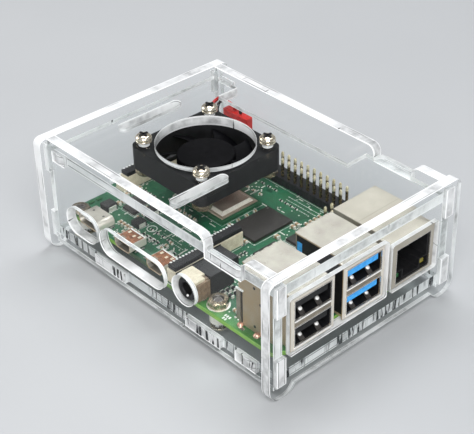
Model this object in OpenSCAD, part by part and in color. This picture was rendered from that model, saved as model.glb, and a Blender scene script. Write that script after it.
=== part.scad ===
// Single board computer in a clear tab-and-slot case with a 30 mm fan under the lid.
// Board coordinates: x from the card end to the USB end, y from the display-port
// edge to the pin-header edge, z = 0 on the board's top face. at_board() moves them
// to the part's own frame, whose origin is under the middle of the case.

/* [Board] */
// Length of the circuit board
board_l = 85; // [80:0.5:90]
// Width of the circuit board
board_w = 56; // [54:0.5:58]
// Thickness of the circuit board
board_t = 1.4; // [1.2:0.1:1.6]
// Corner radius of the circuit board
board_r = 3; // [2:0.5:4]
// Diameter of the four mounting holes
hole_d = 2.7; // [2.6:0.1:3]
// Distance of the mounting holes from the board's edges
hole_inset = 3.5; // [3.5:0.1:4]
// Spacing of the mounting holes along the board
hole_pitch_x = 58; // [57:0.5:59]
// Spacing of the mounting holes across the board
hole_pitch_y = 49; // [48:0.5:50]

/* [Case] */
// Thickness of every case plate
plate_t = 3; // [2.5:0.1:3.2]
// Gap between the board and the card-end plate
gap_sd = 1.6; // [1:0.1:2.5]
// Gap between the board and the USB-end plate
gap_usb = 0.5; // [0.3:0.1:0.8]
// Gap between the board and the front plate
gap_front = 0.6; // [0.4:0.1:1]
// Gap between the board and the back plate
gap_back = 1.0; // [0.6:0.1:1.5]
// Length of the spacers under the board
spacer_h = 3.5; // [3:0.1:5]
// Height of the lid's underside above the board
lid_h = 18; // [17.2:0.1:20]
// Height of the side plates above the lid's top face
wall_rise = 3; // [2:0.1:4]
// Distance that the end plates stand out past the front and back plates
end_overhang = 2.4; // [1.5:0.1:3]
// Distance that the side plates hang below the base plate
skirt = 1.6; // [1:0.1:2]
// Drop of the round feet below the side plates
foot_drop = 2.5; // [2:0.1:3]
// Radius of the round feet
foot_r = 4.4; // [4:0.1:5]
// Clearance round a tab in its slot
tab_fit = 0.1; // [0.05:0.05:0.2]

/* [Fan] */
// Side of the square fan
fan_w = 30; // [30:0.5:31]
// Thickness of the fan
fan_t = 7; // [7:0.5:8]
// Spacing of the fan's screw holes
fan_pitch = 24; // [23.5:0.5:24.5]
// Bore of the fan and of the lid over it
fan_bore = 28; // [27:0.5:28]
// Diameter of the rotor's hub
hub_d = 16.4; // [15:0.2:17]
// Number of blades
blade_n = 7; // [5:1:9]
// Pitch of the blades
blade_pitch = 38; // [25:1:45]

/* [Fasteners] */
// Diameter of every screw's shank
screw_d = 2.5; // [2.5:0.1:2.6]
// Diameter of the screw heads
head_d = 4.6; // [4.4:0.1:5]
// Height of the screw heads
head_h = 2; // [1.5:0.1:2]
// Width across the flats of the nuts
nut_af = 5; // [4.8:0.1:5]
// Thickness of the nuts
nut_h = 2; // [1.8:0.1:2.2]

/* [Headers] */
// Side of a square header pin
pin_w = 0.64; // [0.6:0.02:0.64]
// Height of the pin tips above the board
pin_h = 8.5; // [8:0.1:9]

/* [Hidden] */
$fn = 48;
eps = 0.01;
// Opacity of the clear plates
clear = 0.35;
// Standard pitch of the header pins
pin_pitch = 2.54;

// Faces of the case, in board coordinates
in_x0 = -gap_sd;
in_x1 = board_l + gap_usb;
in_y0 = -gap_front;
in_y1 = board_w + gap_back;
out_x0 = in_x0 - plate_t;
out_x1 = in_x1 + plate_t;
out_y0 = in_y0 - plate_t;
out_y1 = in_y1 + plate_t;
end_y0 = out_y0 - end_overhang;
end_y1 = out_y1 + end_overhang;
base_top = -board_t - spacer_h;
base_bot = base_top - plate_t;
wall_bot = base_bot - skirt;
foot_bot = wall_bot - foot_drop;
lid_top = lid_h + plate_t;
wall_top = lid_top + wall_rise;

// Tabs that join the plates
upper_tab = [13.5, 22];
lower_tab = [base_bot, 0.2];
base_tabs = [[16.5, 29.5], [54.5, 67.5]];
base_ear_x = 77;
base_ear_r = 3.6;
lid_tab = [63, 76];
lid_ear_x = 3;
lid_ear_r = 2.6;
notch_r = 2.4;

// Openings in the case: the header's notch and the flat-cable slots in the lid, the
// plug mouths in the front plate, the card slot and the ports in the end plates
header_notch_x = [8.6, 60.2];
header_notch_y = 49.6;
cable_slot_w = 3;
cable_slot_r = cable_slot_w / 2 - eps;
display_slot_x = 1.6;
display_slot_y = [17.5, 39.5];
camera_slot_x = 40.7;
camera_slot_y = [3.4, 22.6];
plug_mouth_side = 6.8;
plug_mouth_z = [-2.4, 6];
plug_mouth_r = 4;
jack_hole_r = 4.4;
card_slot_w = 18;
card_slot_z = [base_top + 0.3, -0.2];
card_slot_r = 1;
port_gap = 0.9;
port_sill = -0.5;
port_r = 0.8;
fan_screw_hole_d = 3;

// Places on the board
fan_x = 25.3;
fan_y = 30;
gpio_x = 32.5;
gpio_y = 52.5;
header_base_w = 5;
header_base_h = 2.5;
poe_x = 60.8;
poe_y = 43.5;
usb_c_x = 11.2;
video_xs = [26, 39.5];
jack_x = 54;
jack_z = 3;
camera_x = 46.5;
display_x = 4.2;
display_y = 28;
usb2_y = 9;
usb3_y = 27;
ethernet_y = 45.75;
port_x = 87.8;
soc_x = 30;
soc_y = 32;
soc_side = 15;
ram_x = 45.2;
thin_chip_h = 0.9;

// Heights inside the fan, from its lower face up
fan_z = lid_h - fan_t;
arm_h = 1.2;
cup_z0 = fan_z + 1.8;
cup_z1 = fan_z + fan_t - 0.6;
cup_wall = 0.8;
shaft_d = 1.42;
bush_d = 3.4;
bush_bore = 1.5;
bush_h = 3.6;

// Routes of the fan's two leads, from its side to the plug over the header
lead_d = 1.1;
red_route = [
    [14.2, 45, 12.4], [14.2, 46, 12.4], [13.4, 47.1, 12.3], [11.8, 47.8, 12.2],
    [9.6, 48, 12.2], [7.6, 48.3, 12.4], [5.9, 48.9, 12.9], [4.7, 49.9, 13.6],
    [4.3, 51.2, 14.6], [4.9, 52.6, 15.8], [6.3, 53.4, 16.8], [8, 53.8, 17.2],
    [9.6, 53.9, 16.9], [10.6, 53.8, 15.8], [10.9, 53.8, 14.6], [10.9, 53.8, 13.5]
];
black_route = [
    [15.9, 45, 12.4], [15.9, 46.2, 12.4], [15.2, 47.8, 12.3], [13.6, 48.9, 12.2],
    [11.2, 49.4, 12.2], [8.8, 49.8, 12.4], [7.2, 50.3, 12.9], [6.2, 51, 13.6],
    [5.9, 51.9, 14.7], [6.5, 52.4, 15.7], [8, 52.5, 16.6], [9.8, 52.4, 17.1],
    [11.5, 52.6, 17.1], [12.8, 53.1, 16.4], [13.4, 53.6, 15.3], [13.4, 53.8, 14.4],
    [13.4, 53.8, 13.5]
];
plug_n = 4;
plug_w = 2.5;
plug_x = gpio_x - 8 * pin_pitch;
plug_z0 = header_base_h + 0.1;
plug_z1 = 13.5;

module at_board() {
    translate([-(out_x0 + out_x1) / 2, -(end_y0 + end_y1) / 2, -foot_bot]) children();
}

// A flat outline drawn in x and z, standing up with its thickness along +y from y0
module standing_xz(y0, t) {
    translate([0, y0 + t, 0]) rotate([90, 0, 0]) linear_extrude(t) children();
}

// A flat outline drawn in y and z, standing up with its thickness along +x from x0
module standing_yz(x0, t) {
    translate([x0, 0, 0]) rotate([90, 0, 90]) linear_extrude(t) children();
}

module rect(x0, y0, x1, y1) {
    translate([x0, y0]) square([x1 - x0, y1 - y0]);
}

module round_rect(x0, y0, x1, y1, r) {
    rect(x0 + r, y0, x1 - r, y1);
    rect(x0, y0 + r, x1, y1 - r);
    for (x = [x0 + r, x1 - r])
        for (y = [y0 + r, y1 - r])
            translate([x, y]) circle(r);
}

module box(x0, y0, z0, x1, y1, z1) {
    translate([x0, y0, z0]) cube([x1 - x0, y1 - y0, z1 - z0]);
}

// A box standing on the board's top face, given by its middle and its size
module chip(x, y, l, w, h, z = 0) {
    translate([x - l / 2, y - w / 2, z]) cube([l, w, h]);
}

module at_board_holes() {
    for (x = [hole_inset, hole_inset + hole_pitch_x])
        for (y = [hole_inset, hole_inset + hole_pitch_y])
            translate([x, y, 0]) children();
}

module at_fan_holes() {
    for (x = [-1, 1])
        for (y = [-1, 1])
            translate([fan_x + x * fan_pitch / 2, fan_y + y * fan_pitch / 2, 0]) children();
}

// ---- Case plates ----

// The feet are round lobes with a narrow flat underneath
module end_outline() {
    top_r = 2;
    foot_flat = 0.15;
    foot_z = foot_bot + foot_r - foot_flat;
    rect(end_y0, foot_z, end_y1, wall_top - top_r);
    rect(end_y0 + top_r, wall_top - top_r - eps, end_y1 - top_r, wall_top);
    rect(end_y0 + foot_r, wall_bot, end_y1 - foot_r, foot_z + eps);
    for (y = [end_y0 + top_r, end_y1 - top_r])
        translate([y, wall_top - top_r]) circle(top_r);
    for (y = [end_y0 + foot_r, end_y1 - foot_r])
        difference() {
            translate([y, foot_z]) circle(foot_r);
            rect(y - foot_r, foot_bot - 1, y + foot_r, foot_bot);
        }
}

module side_tab_slots() {
    for (y = [out_y0, in_y1])
        for (z = [upper_tab, lower_tab])
            rect(y - tab_fit, z[0] - tab_fit, y + plate_t + tab_fit, z[1] + tab_fit);
}

module card_end_plate() {
    color("white", clear) at_board() standing_yz(out_x0, plate_t) difference() {
        end_outline();
        side_tab_slots();
        round_rect(display_y - card_slot_w / 2, card_slot_z[0],
                   display_y + card_slot_w / 2, card_slot_z[1], card_slot_r);
    }
}

module usb_end_plate() {
    color("white", clear) at_board() standing_yz(in_x1, plate_t) difference() {
        end_outline();
        side_tab_slots();
        usb_side = usb_flange_w / 2 + port_gap;
        rj_side = rj_w / 2 + port_gap;
        round_rect(usb2_y - usb_side, port_sill, usb3_y + usb_side, usb_h + port_gap, port_r);
        round_rect(ethernet_y - rj_side, port_sill, ethernet_y + rj_side, rj_h + port_gap, port_r);
    }
}

// Outline shared by the front and the back plate, with the lid's open notch at the top
module side_outline() {
    difference() {
        union() {
            rect(in_x0, wall_bot, in_x1, wall_top);
            for (z = [upper_tab, lower_tab])
                rect(out_x0, z[0], out_x1, z[1]);
        }
        notch_x0 = lid_tab[0] - tab_fit;
        notch_x1 = lid_tab[1] + tab_fit;
        rect(notch_x0, lid_h - tab_fit, notch_x1, wall_top + eps);
        for (side = [[notch_x0, -1], [notch_x1, 1]])
            translate([side[0], wall_top]) scale([side[1], 1]) difference() {
                rect(-eps, -notch_r, notch_r, eps);
                translate([notch_r, -notch_r]) circle(notch_r);
            }
        for (t = base_tabs)
            rect(t[0] - tab_fit, base_bot - tab_fit, t[1] + tab_fit, base_top + tab_fit);
        rect(base_ear_x - base_ear_r - tab_fit, base_bot - tab_fit,
             base_ear_x + base_ear_r + tab_fit, base_top + tab_fit);
        rect(lid_ear_x - lid_ear_r - tab_fit, lid_h - tab_fit,
             lid_ear_x + lid_ear_r + tab_fit, lid_top + tab_fit);
    }
}

module front_plate() {
    color("white", clear) at_board() standing_xz(out_y0, plate_t) difference() {
        side_outline();
        for (x = [[usb_c_x, usb_c_x], video_xs])
            round_rect(x[0] - plug_mouth_side, plug_mouth_z[0],
                       x[1] + plug_mouth_side, plug_mouth_z[1], plug_mouth_r);
        translate([jack_x, jack_z]) circle(jack_hole_r);
    }
}

module back_plate() {
    color("white", clear) at_board() standing_xz(in_y1, plate_t) side_outline();
}

// An ear with a round end, whose outer edge lies flush with the side plate's face
module ear(x, r) {
    for (side = [[in_y0, -1], [in_y1, 1]])
        translate([x, side[0]]) scale([1, side[1]]) {
            rect(-r, -eps, r, max(plate_t - r, eps));
            intersection() {
                translate([0, plate_t - r]) circle(r);
                rect(-r, -eps, r, plate_t);
            }
        }
}

module lid_plate() {
    tab_r = 1.8;
    color("white", clear) at_board() translate([0, 0, lid_h]) linear_extrude(plate_t) difference() {
        union() {
            rect(in_x0, in_y0, in_x1, in_y1);
            round_rect(lid_tab[0], out_y0, lid_tab[1], out_y1, tab_r);
            ear(lid_ear_x, lid_ear_r);
        }
        translate([fan_x, fan_y]) circle(fan_bore / 2);
        at_fan_holes() circle(fan_screw_hole_d / 2);
        round_rect(display_slot_x, display_slot_y[0],
                   display_slot_x + cable_slot_w, display_slot_y[1], cable_slot_r);
        round_rect(camera_slot_x, camera_slot_y[0],
                   camera_slot_x + cable_slot_w, camera_slot_y[1], cable_slot_r);
        rect(header_notch_x[0], header_notch_y, header_notch_x[1], in_y1 + 1);
    }
}

module base_plate() {
    color("white", clear) at_board() translate([0, 0, base_bot]) linear_extrude(plate_t) difference() {
        union() {
            rect(in_x0, in_y0, in_x1, in_y1);
            for (t = base_tabs)
                rect(t[0], out_y0, t[1], out_y1);
            ear(base_ear_x, base_ear_r);
        }
        at_board_holes() circle(hole_d / 2);
    }
}

// ---- Fasteners ----

module phillips_recess(w) {
    depth = 0.9;
    for (a = [0, 90])
        rotate([0, 0, a]) chip(0, 0, w, w / 4.5, depth, -depth);
}

// A pan-head screw whose shank starts at z = 0 and runs down
module pan_screw(len) {
    rim_h = head_h * 0.45;
    crown_h = head_h * 0.55;
    crown_d = head_d * 0.66;
    difference() {
        union() {
            cylinder(h = rim_h, d = head_d);
            translate([0, 0, rim_h]) cylinder(h = crown_h, d1 = head_d, d2 = crown_d);
        }
        translate([0, 0, head_h + eps]) phillips_recess(head_d * 0.55);
    }
    translate([0, 0, -len]) cylinder(h = len, d = screw_d);
}

module hex_nut() {
    thread_gap = 0.06;
    difference() {
        cylinder(h = nut_h, d = nut_af / cos(30), $fn = 6);
        translate([0, 0, -eps]) cylinder(h = nut_h + 2 * eps, d = screw_d + thread_gap);
    }
}

module board_screws() {
    end_below_nut = 0.4;
    len = plate_t + spacer_h + board_t + nut_h - end_below_nut;
    color("silver") at_board() at_board_holes()
        translate([0, 0, base_bot]) rotate([180, 0, 0]) pan_screw(len);
}

module board_nuts() {
    color("gainsboro") at_board() at_board_holes() hex_nut();
}

module board_spacers() {
    spacer_d = 5;
    color("ivory") at_board() at_board_holes() translate([0, 0, base_top]) difference() {
        cylinder(h = spacer_h, d = spacer_d);
        translate([0, 0, -eps]) cylinder(h = spacer_h + 2 * eps, d = hole_d);
    }
}

module fan_screws() {
    color("silver") at_board() at_fan_holes()
        translate([0, 0, lid_top]) pan_screw(plate_t + fan_t + nut_h);
}

module fan_nuts() {
    color("gainsboro") at_board() at_fan_holes() translate([0, 0, fan_z - nut_h]) hex_nut();
}

// ---- Fan ----

module fan_frame() {
    corner_r = 2.5;
    screw_hole_d = 2.8;
    arm_w = 1.8;
    arm_l = (fan_bore - hub_d) / 2 + 0.3;
    color("black") at_board() translate([fan_x, fan_y, fan_z]) {
        difference() {
            linear_extrude(fan_t) difference() {
                round_rect(-fan_w / 2, -fan_w / 2, fan_w / 2, fan_w / 2, corner_r);
                circle(fan_bore / 2);
            }
            translate([-fan_x, -fan_y, -eps]) at_fan_holes()
                cylinder(h = fan_t + 2 * eps, d = screw_hole_d);
        }
        cylinder(h = arm_h, d = hub_d + 0.6);
        for (a = [45, 135, 225, 315])
            rotate([0, 0, a]) translate([hub_d / 2, -arm_w / 2, 0]) cube([arm_l, arm_w, arm_h]);
    }
}

module fan_bearing() {
    color("goldenrod") at_board() translate([fan_x, fan_y, fan_z + arm_h]) difference() {
        cylinder(h = bush_h, d = bush_d);
        translate([0, 0, -eps]) cylinder(h = bush_h + 2 * eps, d = bush_bore);
    }
}

module fan_stator() {
    pole_n = 4;
    pole_w = 5.2;
    stator_d = 12;
    stator_h = 3.4;
    core_d = 6.4;
    color("peru") at_board() translate([fan_x, fan_y, fan_z + arm_h]) {
        difference() {
            union() {
                cylinder(h = stator_h, d = core_d);
                for (i = [0 : pole_n - 1])
                    rotate([0, 0, i * 360 / pole_n]) intersection() {
                        chip(stator_d / 4, 0, stator_d / 2 + 1, pole_w, 2, 0.8);
                        cylinder(h = stator_h, d = stator_d);
                    }
            }
            translate([0, 0, -eps]) cylinder(h = stator_h + 2 * eps, d = bush_d + 0.04);
        }
    }
}

// The hub's cup is open below and carries the blades
module fan_rotor() {
    blade_gap = 0.5;
    blade_t = 0.9;
    blade_l = 7.2;
    color("dimgray") at_board() translate([fan_x, fan_y, 0]) {
        difference() {
            translate([0, 0, cup_z0]) cylinder(h = cup_z1 - cup_z0, d = hub_d);
            translate([0, 0, cup_z0 - eps])
                cylinder(h = cup_z1 - cup_z0 - cup_wall + eps, d = hub_d - 2 * cup_wall);
            translate([0, 0, cup_z0]) cylinder(h = 9, d = shaft_d);
        }
        intersection() {
            translate([0, 0, cup_z0]) difference() {
                cylinder(h = cup_z1 - cup_z0, d = fan_bore - 2 * blade_gap);
                translate([0, 0, -1]) cylinder(h = 9, d = hub_d - 0.4);
            }
            for (i = [0 : blade_n - 1])
                rotate([0, 0, i * 360 / blade_n]) translate([fan_bore / 4, 0, (cup_z0 + cup_z1) / 2])
                    rotate([blade_pitch, 0, 0]) cube([fan_bore / 2, blade_l, blade_t], center = true);
        }
    }
}

module fan_shaft() {
    color("silver") at_board() translate([fan_x, fan_y, fan_z + arm_h + 0.2])
        cylinder(h = cup_z1 - fan_z - arm_h - 0.2, d = shaft_d);
}

module fan_magnet() {
    magnet_h = 3.2;
    magnet_bore = 12.6;
    color("darkslategray") at_board() translate([fan_x, fan_y, cup_z1 - cup_wall - magnet_h]) difference() {
        cylinder(h = magnet_h, d = hub_d - 2 * cup_wall);
        translate([0, 0, -eps]) cylinder(h = magnet_h + 2 * eps, d = magnet_bore);
    }
}

// A tube swept along a route, one ring of sides points at each point of the route
function unit(v) = v / norm(v);
function route_dir(p, i) = unit(p[min(i + 1, len(p) - 1)] - p[max(i - 1, 0)]);
function ring(p, i, d, sides) =
    let (t = route_dir(p, i), side = unit(cross([0, 0, 1] + [0.3, 0.1, 0], t)), up = cross(t, side))
    [for (k = [0 : sides - 1]) p[i] + d / 2 * (cos(k * 360 / sides) * side + sin(k * 360 / sides) * up)];

module tube(p, d, sides = 8) {
    n = len(p);
    points = [for (i = [0 : n - 1]) each ring(p, i, d, sides)];
    walls = [for (i = [0 : n - 2]) for (k = [0 : sides - 1])
        let (a = i * sides, b = a + sides, next = (k + 1) % sides)
        [a + k, a + next, b + next, b + k]];
    first = [for (k = [sides - 1 : -1 : 0]) k];
    last = [for (k = [0 : sides - 1]) (n - 1) * sides + k];
    polyhedron(points, concat([first], walls, [last]));
}

module fan_lead_red() {
    color("red") at_board() tube(red_route, lead_d);
}

module fan_lead_black() {
    color("black") at_board() tube(black_route, lead_d);
}

// One plug that stands over the first pins of the header's outer row
module lead_plug() {
    cavity_w = pin_w + 0.2;
    y = gpio_y + pin_pitch / 2;
    color("red") at_board() difference() {
        chip(plug_x, y, plug_n * pin_pitch, plug_w, plug_z1 - plug_z0, plug_z0);
        at_header(plug_n, 1, plug_x, y)
            chip(0, 0, cavity_w, cavity_w, pin_h - plug_z0 + 0.3, plug_z0 - 0.1);
    }
}

// ---- Board and chips ----

module pcb() {
    color("darkgreen") at_board() translate([0, 0, -board_t]) linear_extrude(board_t) difference() {
        round_rect(0, 0, board_l, board_w, board_r);
        at_board_holes() circle(hole_d / 2);
    }
}

module soc_substrate() {
    color("darkolivegreen") at_board() chip(soc_x, soc_y, soc_side, soc_side, thin_chip_h);
}

module soc_heat_spreader() {
    brim = [13.4, 0.8];
    crown = [11.6, 0.5];
    color("silver") at_board() {
        chip(soc_x, soc_y, brim[0], brim[0], brim[1], thin_chip_h);
        chip(soc_x, soc_y, crown[0], crown[0], crown[1], thin_chip_h + brim[1]);
    }
}

module ram_chip() {
    color("black") at_board() chip(ram_x, soc_y, 10, 14.5, 1);
}

module usb_controller() {
    side = 8;
    color("black") at_board() chip(57.6, 25, side, side, thin_chip_h);
}

module ethernet_phy() {
    side = 7;
    color("black") at_board() chip(58.4, 35.4, side, side, thin_chip_h);
}

module power_chip() {
    side = 5;
    color("black") at_board() chip(12.6, 15.6, side, side, thin_chip_h);
}

module wireless_can() {
    color("silver") at_board() chip(14.4, 41.6, 12, 9.6, 1.5);
}

// ---- Headers ----

module at_header(cols, rows, x, y) {
    for (i = [0 : cols - 1])
        for (j = [0 : rows - 1])
            translate([x + (i - (cols - 1) / 2) * pin_pitch, y + (j - (rows - 1) / 2) * pin_pitch, 0])
                children();
}

module header_base(cols, x, y) {
    l = cols * pin_pitch;
    nick_w = 0.5;
    hole_w = pin_w + 0.06;
    difference() {
        chip(x, y, l, header_base_w, header_base_h);
        at_header(cols, 2, x, y) chip(0, 0, hole_w, hole_w, header_base_h + 1, -0.5);
        // small nicks between the pin pairs
        for (i = [1 : cols - 1])
            for (side = [-1, 1])
                chip(x - l / 2 + i * pin_pitch, y + side * header_base_w / 2, nick_w, nick_w,
                     header_base_h + 1, -0.5);
    }
}

module header_pin() {
    tip_h = 0.4;
    chip(0, 0, pin_w, pin_w, pin_h - tip_h);
    translate([0, 0, pin_h - tip_h]) rotate([0, 0, 45])
        cylinder(h = tip_h, d1 = pin_w * sqrt(2), d2 = pin_w * 0.8, $fn = 4);
}

module gpio_header_base() {
    color("black") at_board() header_base(20, gpio_x, gpio_y);
}

module gpio_pins() {
    color("gold") at_board() at_header(20, 2, gpio_x, gpio_y) header_pin();
}

module poe_header_base() {
    color("black") at_board() header_base(2, poe_x, poe_y);
}

module poe_pins() {
    color("gold") at_board() at_header(2, 2, poe_x, poe_y) header_pin();
}

// ---- Sockets along the front edge ----

usb_c_w = 8.94;
usb_c_h = 3.2;
front_lip = 1.2;

module usb_c_shell() {
    depth = 7.4;
    wall = 0.3;
    color("silver") at_board() difference() {
        standing_xz(-front_lip, depth)
            round_rect(usb_c_x - usb_c_w / 2, 0, usb_c_x + usb_c_w / 2, usb_c_h, 1.3);
        standing_xz(-front_lip - 1, depth + 1 - wall)
            round_rect(usb_c_x - usb_c_w / 2 + wall, wall, usb_c_x + usb_c_w / 2 - wall, usb_c_h - wall, 1);
    }
}

module usb_c_tongue() {
    color("black") at_board() {
        chip(usb_c_x, 1.7, 6.6, 4, 0.7, usb_c_h / 2 - 0.35);
        box(usb_c_x - 3.6, 3.7, 0.5, usb_c_x + 3.6, 5.9, usb_c_h - 0.5);
    }
}

video_w = 6.5;
video_h = 3;

// A socket mouth that is narrower at its foot
module video_outline(inset) {
    w = video_w / 2 - inset;
    polygon([[-w + 0.9, inset], [w - 0.9, inset], [w, inset + 0.9], [w, video_h - inset],
             [-w, video_h - inset], [-w, inset + 0.9]]);
}

module video_shell(x) {
    depth = 7.6;
    wall = 0.3;
    difference() {
        standing_xz(-front_lip, depth) translate([x, 0]) video_outline(0);
        standing_xz(-front_lip - 1, depth + 1 - wall) translate([x, 0]) video_outline(wall);
    }
}

module video_tongue(x) {
    chip(x, 1.6, 4.2, 4.2, 0.7, 1.5);
    box(x - 2, 3.7, 0.4, x + 2, 6.05, 2.6);
}

module video_0_shell() {
    color("silver") at_board() video_shell(video_xs[0]);
}

module video_0_tongue() {
    color("black") at_board() video_tongue(video_xs[0]);
}

module video_1_shell() {
    color("silver") at_board() video_shell(video_xs[1]);
}

module video_1_tongue() {
    color("black") at_board() video_tongue(video_xs[1]);
}

jack_bore = 3.6;
jack_w = 7;
jack_h = 6;
jack_split = 4.4;
jack_end = 12.6;
jack_barrel_d = 6.6;

module audio_jack_housing() {
    color("tan") at_board() difference() {
        union() {
            box(jack_x - jack_w / 2, -0.1, 0, jack_x + jack_w / 2, jack_split, jack_h);
            translate([jack_x, 0, jack_z]) rotate([90, 0, 0]) cylinder(h = 2.5, d = jack_barrel_d);
        }
        translate([jack_x, jack_split + 1, jack_z]) rotate([90, 0, 0]) cylinder(h = 11, d = jack_bore);
    }
}

module audio_jack_rear() {
    color("black") at_board() difference() {
        box(jack_x - jack_w / 2, jack_split, 0, jack_x + jack_w / 2, jack_end, jack_h);
        translate([jack_x, 12, jack_z]) rotate([90, 0, 0]) cylinder(h = 12, d = jack_bore);
    }
}

// ---- Flat-cable sockets with lifting latches ----

ribbon_l = 22;
ribbon_body_h = 4.2;
ribbon_body_w = 3.4;
ribbon_slot_w = 1.1;
ribbon_slot_l = ribbon_l - 2.4;
camera_y = 11.6;
latch_rise = 1.3;
latch_gap = 0.05;

// Body with a ribbon slot down its middle; the latch's wedge sits in the slot's mouth
module ribbon_socket(x, y) {
    difference() {
        chip(x, y, ribbon_body_w, ribbon_l, ribbon_body_h);
        chip(x, y, ribbon_slot_w, ribbon_slot_l, ribbon_body_h, 1);
    }
}

module ribbon_latch(x, y) {
    wedge_t = 0.5;
    wedge_h = 2;
    wedge_drop = 1.9;
    chip(x, y, ribbon_body_w - 0.4, ribbon_l - 0.4, latch_rise, ribbon_body_h + latch_gap);
    chip(x + 0.15, y, wedge_t, ribbon_slot_l - 1, wedge_h, ribbon_body_h - wedge_drop);
}

module camera_socket() {
    color("ivory") at_board() ribbon_socket(camera_x, camera_y);
}

module camera_latch() {
    color("black") at_board() ribbon_latch(camera_x, camera_y);
}

module display_socket() {
    color("ivory") at_board() ribbon_socket(display_x, display_y);
}

module display_latch() {
    color("black") at_board() ribbon_latch(display_x, display_y);
}

// ---- Sockets at the USB end ----

usb_w = 13.2;
usb_flange_w = 15;
usb_h = 16;
usb_x0 = 70.3;
usb_mouth_w = 12.4;
usb_mouths = [[1.4, 6.9], [9.3, 14.9]];
tongue_t = 2.2;
tongue_gap = 0.45;
tongue_x0 = 78;
tongue_l = 9.3;

module usb_shell(y) {
    flange_t = 0.4;
    flange_z0 = 0.2;
    back_t = 0.5;
    difference() {
        union() {
            box(usb_x0, y - usb_w / 2, 0, port_x, y + usb_w / 2, usb_h);
            box(port_x - flange_t, y - usb_flange_w / 2, flange_z0, port_x, y + usb_flange_w / 2, usb_h);
        }
        for (m = usb_mouths)
            box(usb_x0 + back_t, y - usb_mouth_w / 2, m[0], port_x + 1, y + usb_mouth_w / 2, m[1]);
    }
}

module usb_tongue_pair(y) {
    root_w = 12.2;
    tongue_w = 11;
    for (m = usb_mouths) {
        box(usb_x0 + 0.6, y - root_w / 2, m[0] + 0.05, tongue_x0, y + root_w / 2, m[1] - 0.05);
        chip(tongue_x0 + tongue_l / 2, y, tongue_l, tongue_w, tongue_t, m[1] - tongue_gap - tongue_t);
    }
}

module usb2_shell() {
    color("silver") at_board() usb_shell(usb2_y);
}

module usb2_tongues() {
    color("black") at_board() usb_tongue_pair(usb2_y);
}

module usb3_shell() {
    color("silver") at_board() usb_shell(usb3_y);
}

module usb3_tongues() {
    color("dodgerblue") at_board() usb_tongue_pair(usb3_y);
}

// Four spring contacts under every tongue
module usb_contacts() {
    contact_l = 6.8;
    contact_w = 1;
    contact_t = 0.35;
    contact_x = tongue_x0 + 1.4 + contact_l / 2;
    contact_ys = [-3.5, -1, 1, 3.5];
    color("gold") at_board()
        for (y = [usb2_y, usb3_y])
            for (m = usb_mouths)
                for (i = contact_ys)
                    chip(contact_x, y + i, contact_l, contact_w, contact_t,
                         m[1] - tongue_gap - tongue_t - contact_t);
}

rj_w = 16;
rj_h = 13.5;
rj_x0 = 66.6;
rj_wall = 0.35;
rj_mouth = [12, 9.6];
rj_mouth_z0 = 1.6;
light_y = 4.9;

module ethernet_shell() {
    face_opening_w = 13;
    face_opening_z = [1, 11.7];
    color("silver") at_board() difference() {
        box(rj_x0, ethernet_y - rj_w / 2, 0, port_x, ethernet_y + rj_w / 2, rj_h);
        box(rj_x0 + rj_wall, ethernet_y - rj_w / 2 + rj_wall, rj_wall,
            port_x - rj_wall, ethernet_y + rj_w / 2 - rj_wall, rj_h - rj_wall);
        box(port_x - 1, ethernet_y - face_opening_w / 2, face_opening_z[0],
            port_x + 1, ethernet_y + face_opening_w / 2, face_opening_z[1]);
    }
}

module ethernet_insert() {
    lip = 0.05;
    mouth_depth = 13.4;
    clip_w = 6.4;
    color("black") at_board() difference() {
        box(rj_x0 + rj_wall + lip, ethernet_y - rj_w / 2 + rj_wall + lip, rj_wall + lip,
            port_x - rj_wall - lip, ethernet_y + rj_w / 2 - rj_wall - lip, rj_h - rj_wall - lip);
        box(port_x - mouth_depth, ethernet_y - rj_mouth[0] / 2, rj_mouth_z0 + 2.6,
            port_x + 1, ethernet_y + rj_mouth[0] / 2, rj_mouth_z0 + rj_mouth[1]);
        box(port_x - mouth_depth, ethernet_y - clip_w / 2, rj_mouth_z0,
            port_x + 1, ethernet_y + clip_w / 2, rj_mouth_z0 + 3);
        for (y = [ethernet_y - light_y, ethernet_y + light_y])
            box(port_x - 3, y - 1.4, 1.4, port_x + 1, y + 1.4, 3.9);
    }
}

// Light pipes in the mouth's two lower corners
module ethernet_lights() {
    color("yellow") at_board()
        for (y = [ethernet_y - light_y, ethernet_y + light_y])
            box(port_x - 2.9, y - 1.3, 1.5, port_x - 0.6, y + 1.3, 3.8);
}

module card_socket() {
    h = 1.5;
    w = 12.8;
    card_w = 11.2;
    color("silver") at_board() difference() {
        box(0.4, display_y - w / 2, -board_t - h, 15, display_y + w / 2, -board_t);
        box(-1, display_y - card_w / 2, -board_t - h + 0.2, 13.6, display_y + card_w / 2, -board_t - 0.3);
    }
}

// ---- Small parts ----

module inductors() {
    spots = [[19.6, 11.4, 3.2], [19.4, 16.4, 3.2], [7.2, 10.6, 3.6], [57.2, 17.4, 2.6], [64.8, 26, 2.6]];
    color("dimgray") at_board()
        for (s = spots)
            chip(s[0], s[1], s[2], s[2], s[2] * 0.55);
}

// A row of small parts: count, first middle, step, size
module row(n, x, y, dx, dy, l, w, h) {
    for (i = [0 : n - 1])
        chip(x + i * dx, y + i * dy, l, w, h);
}

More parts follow.
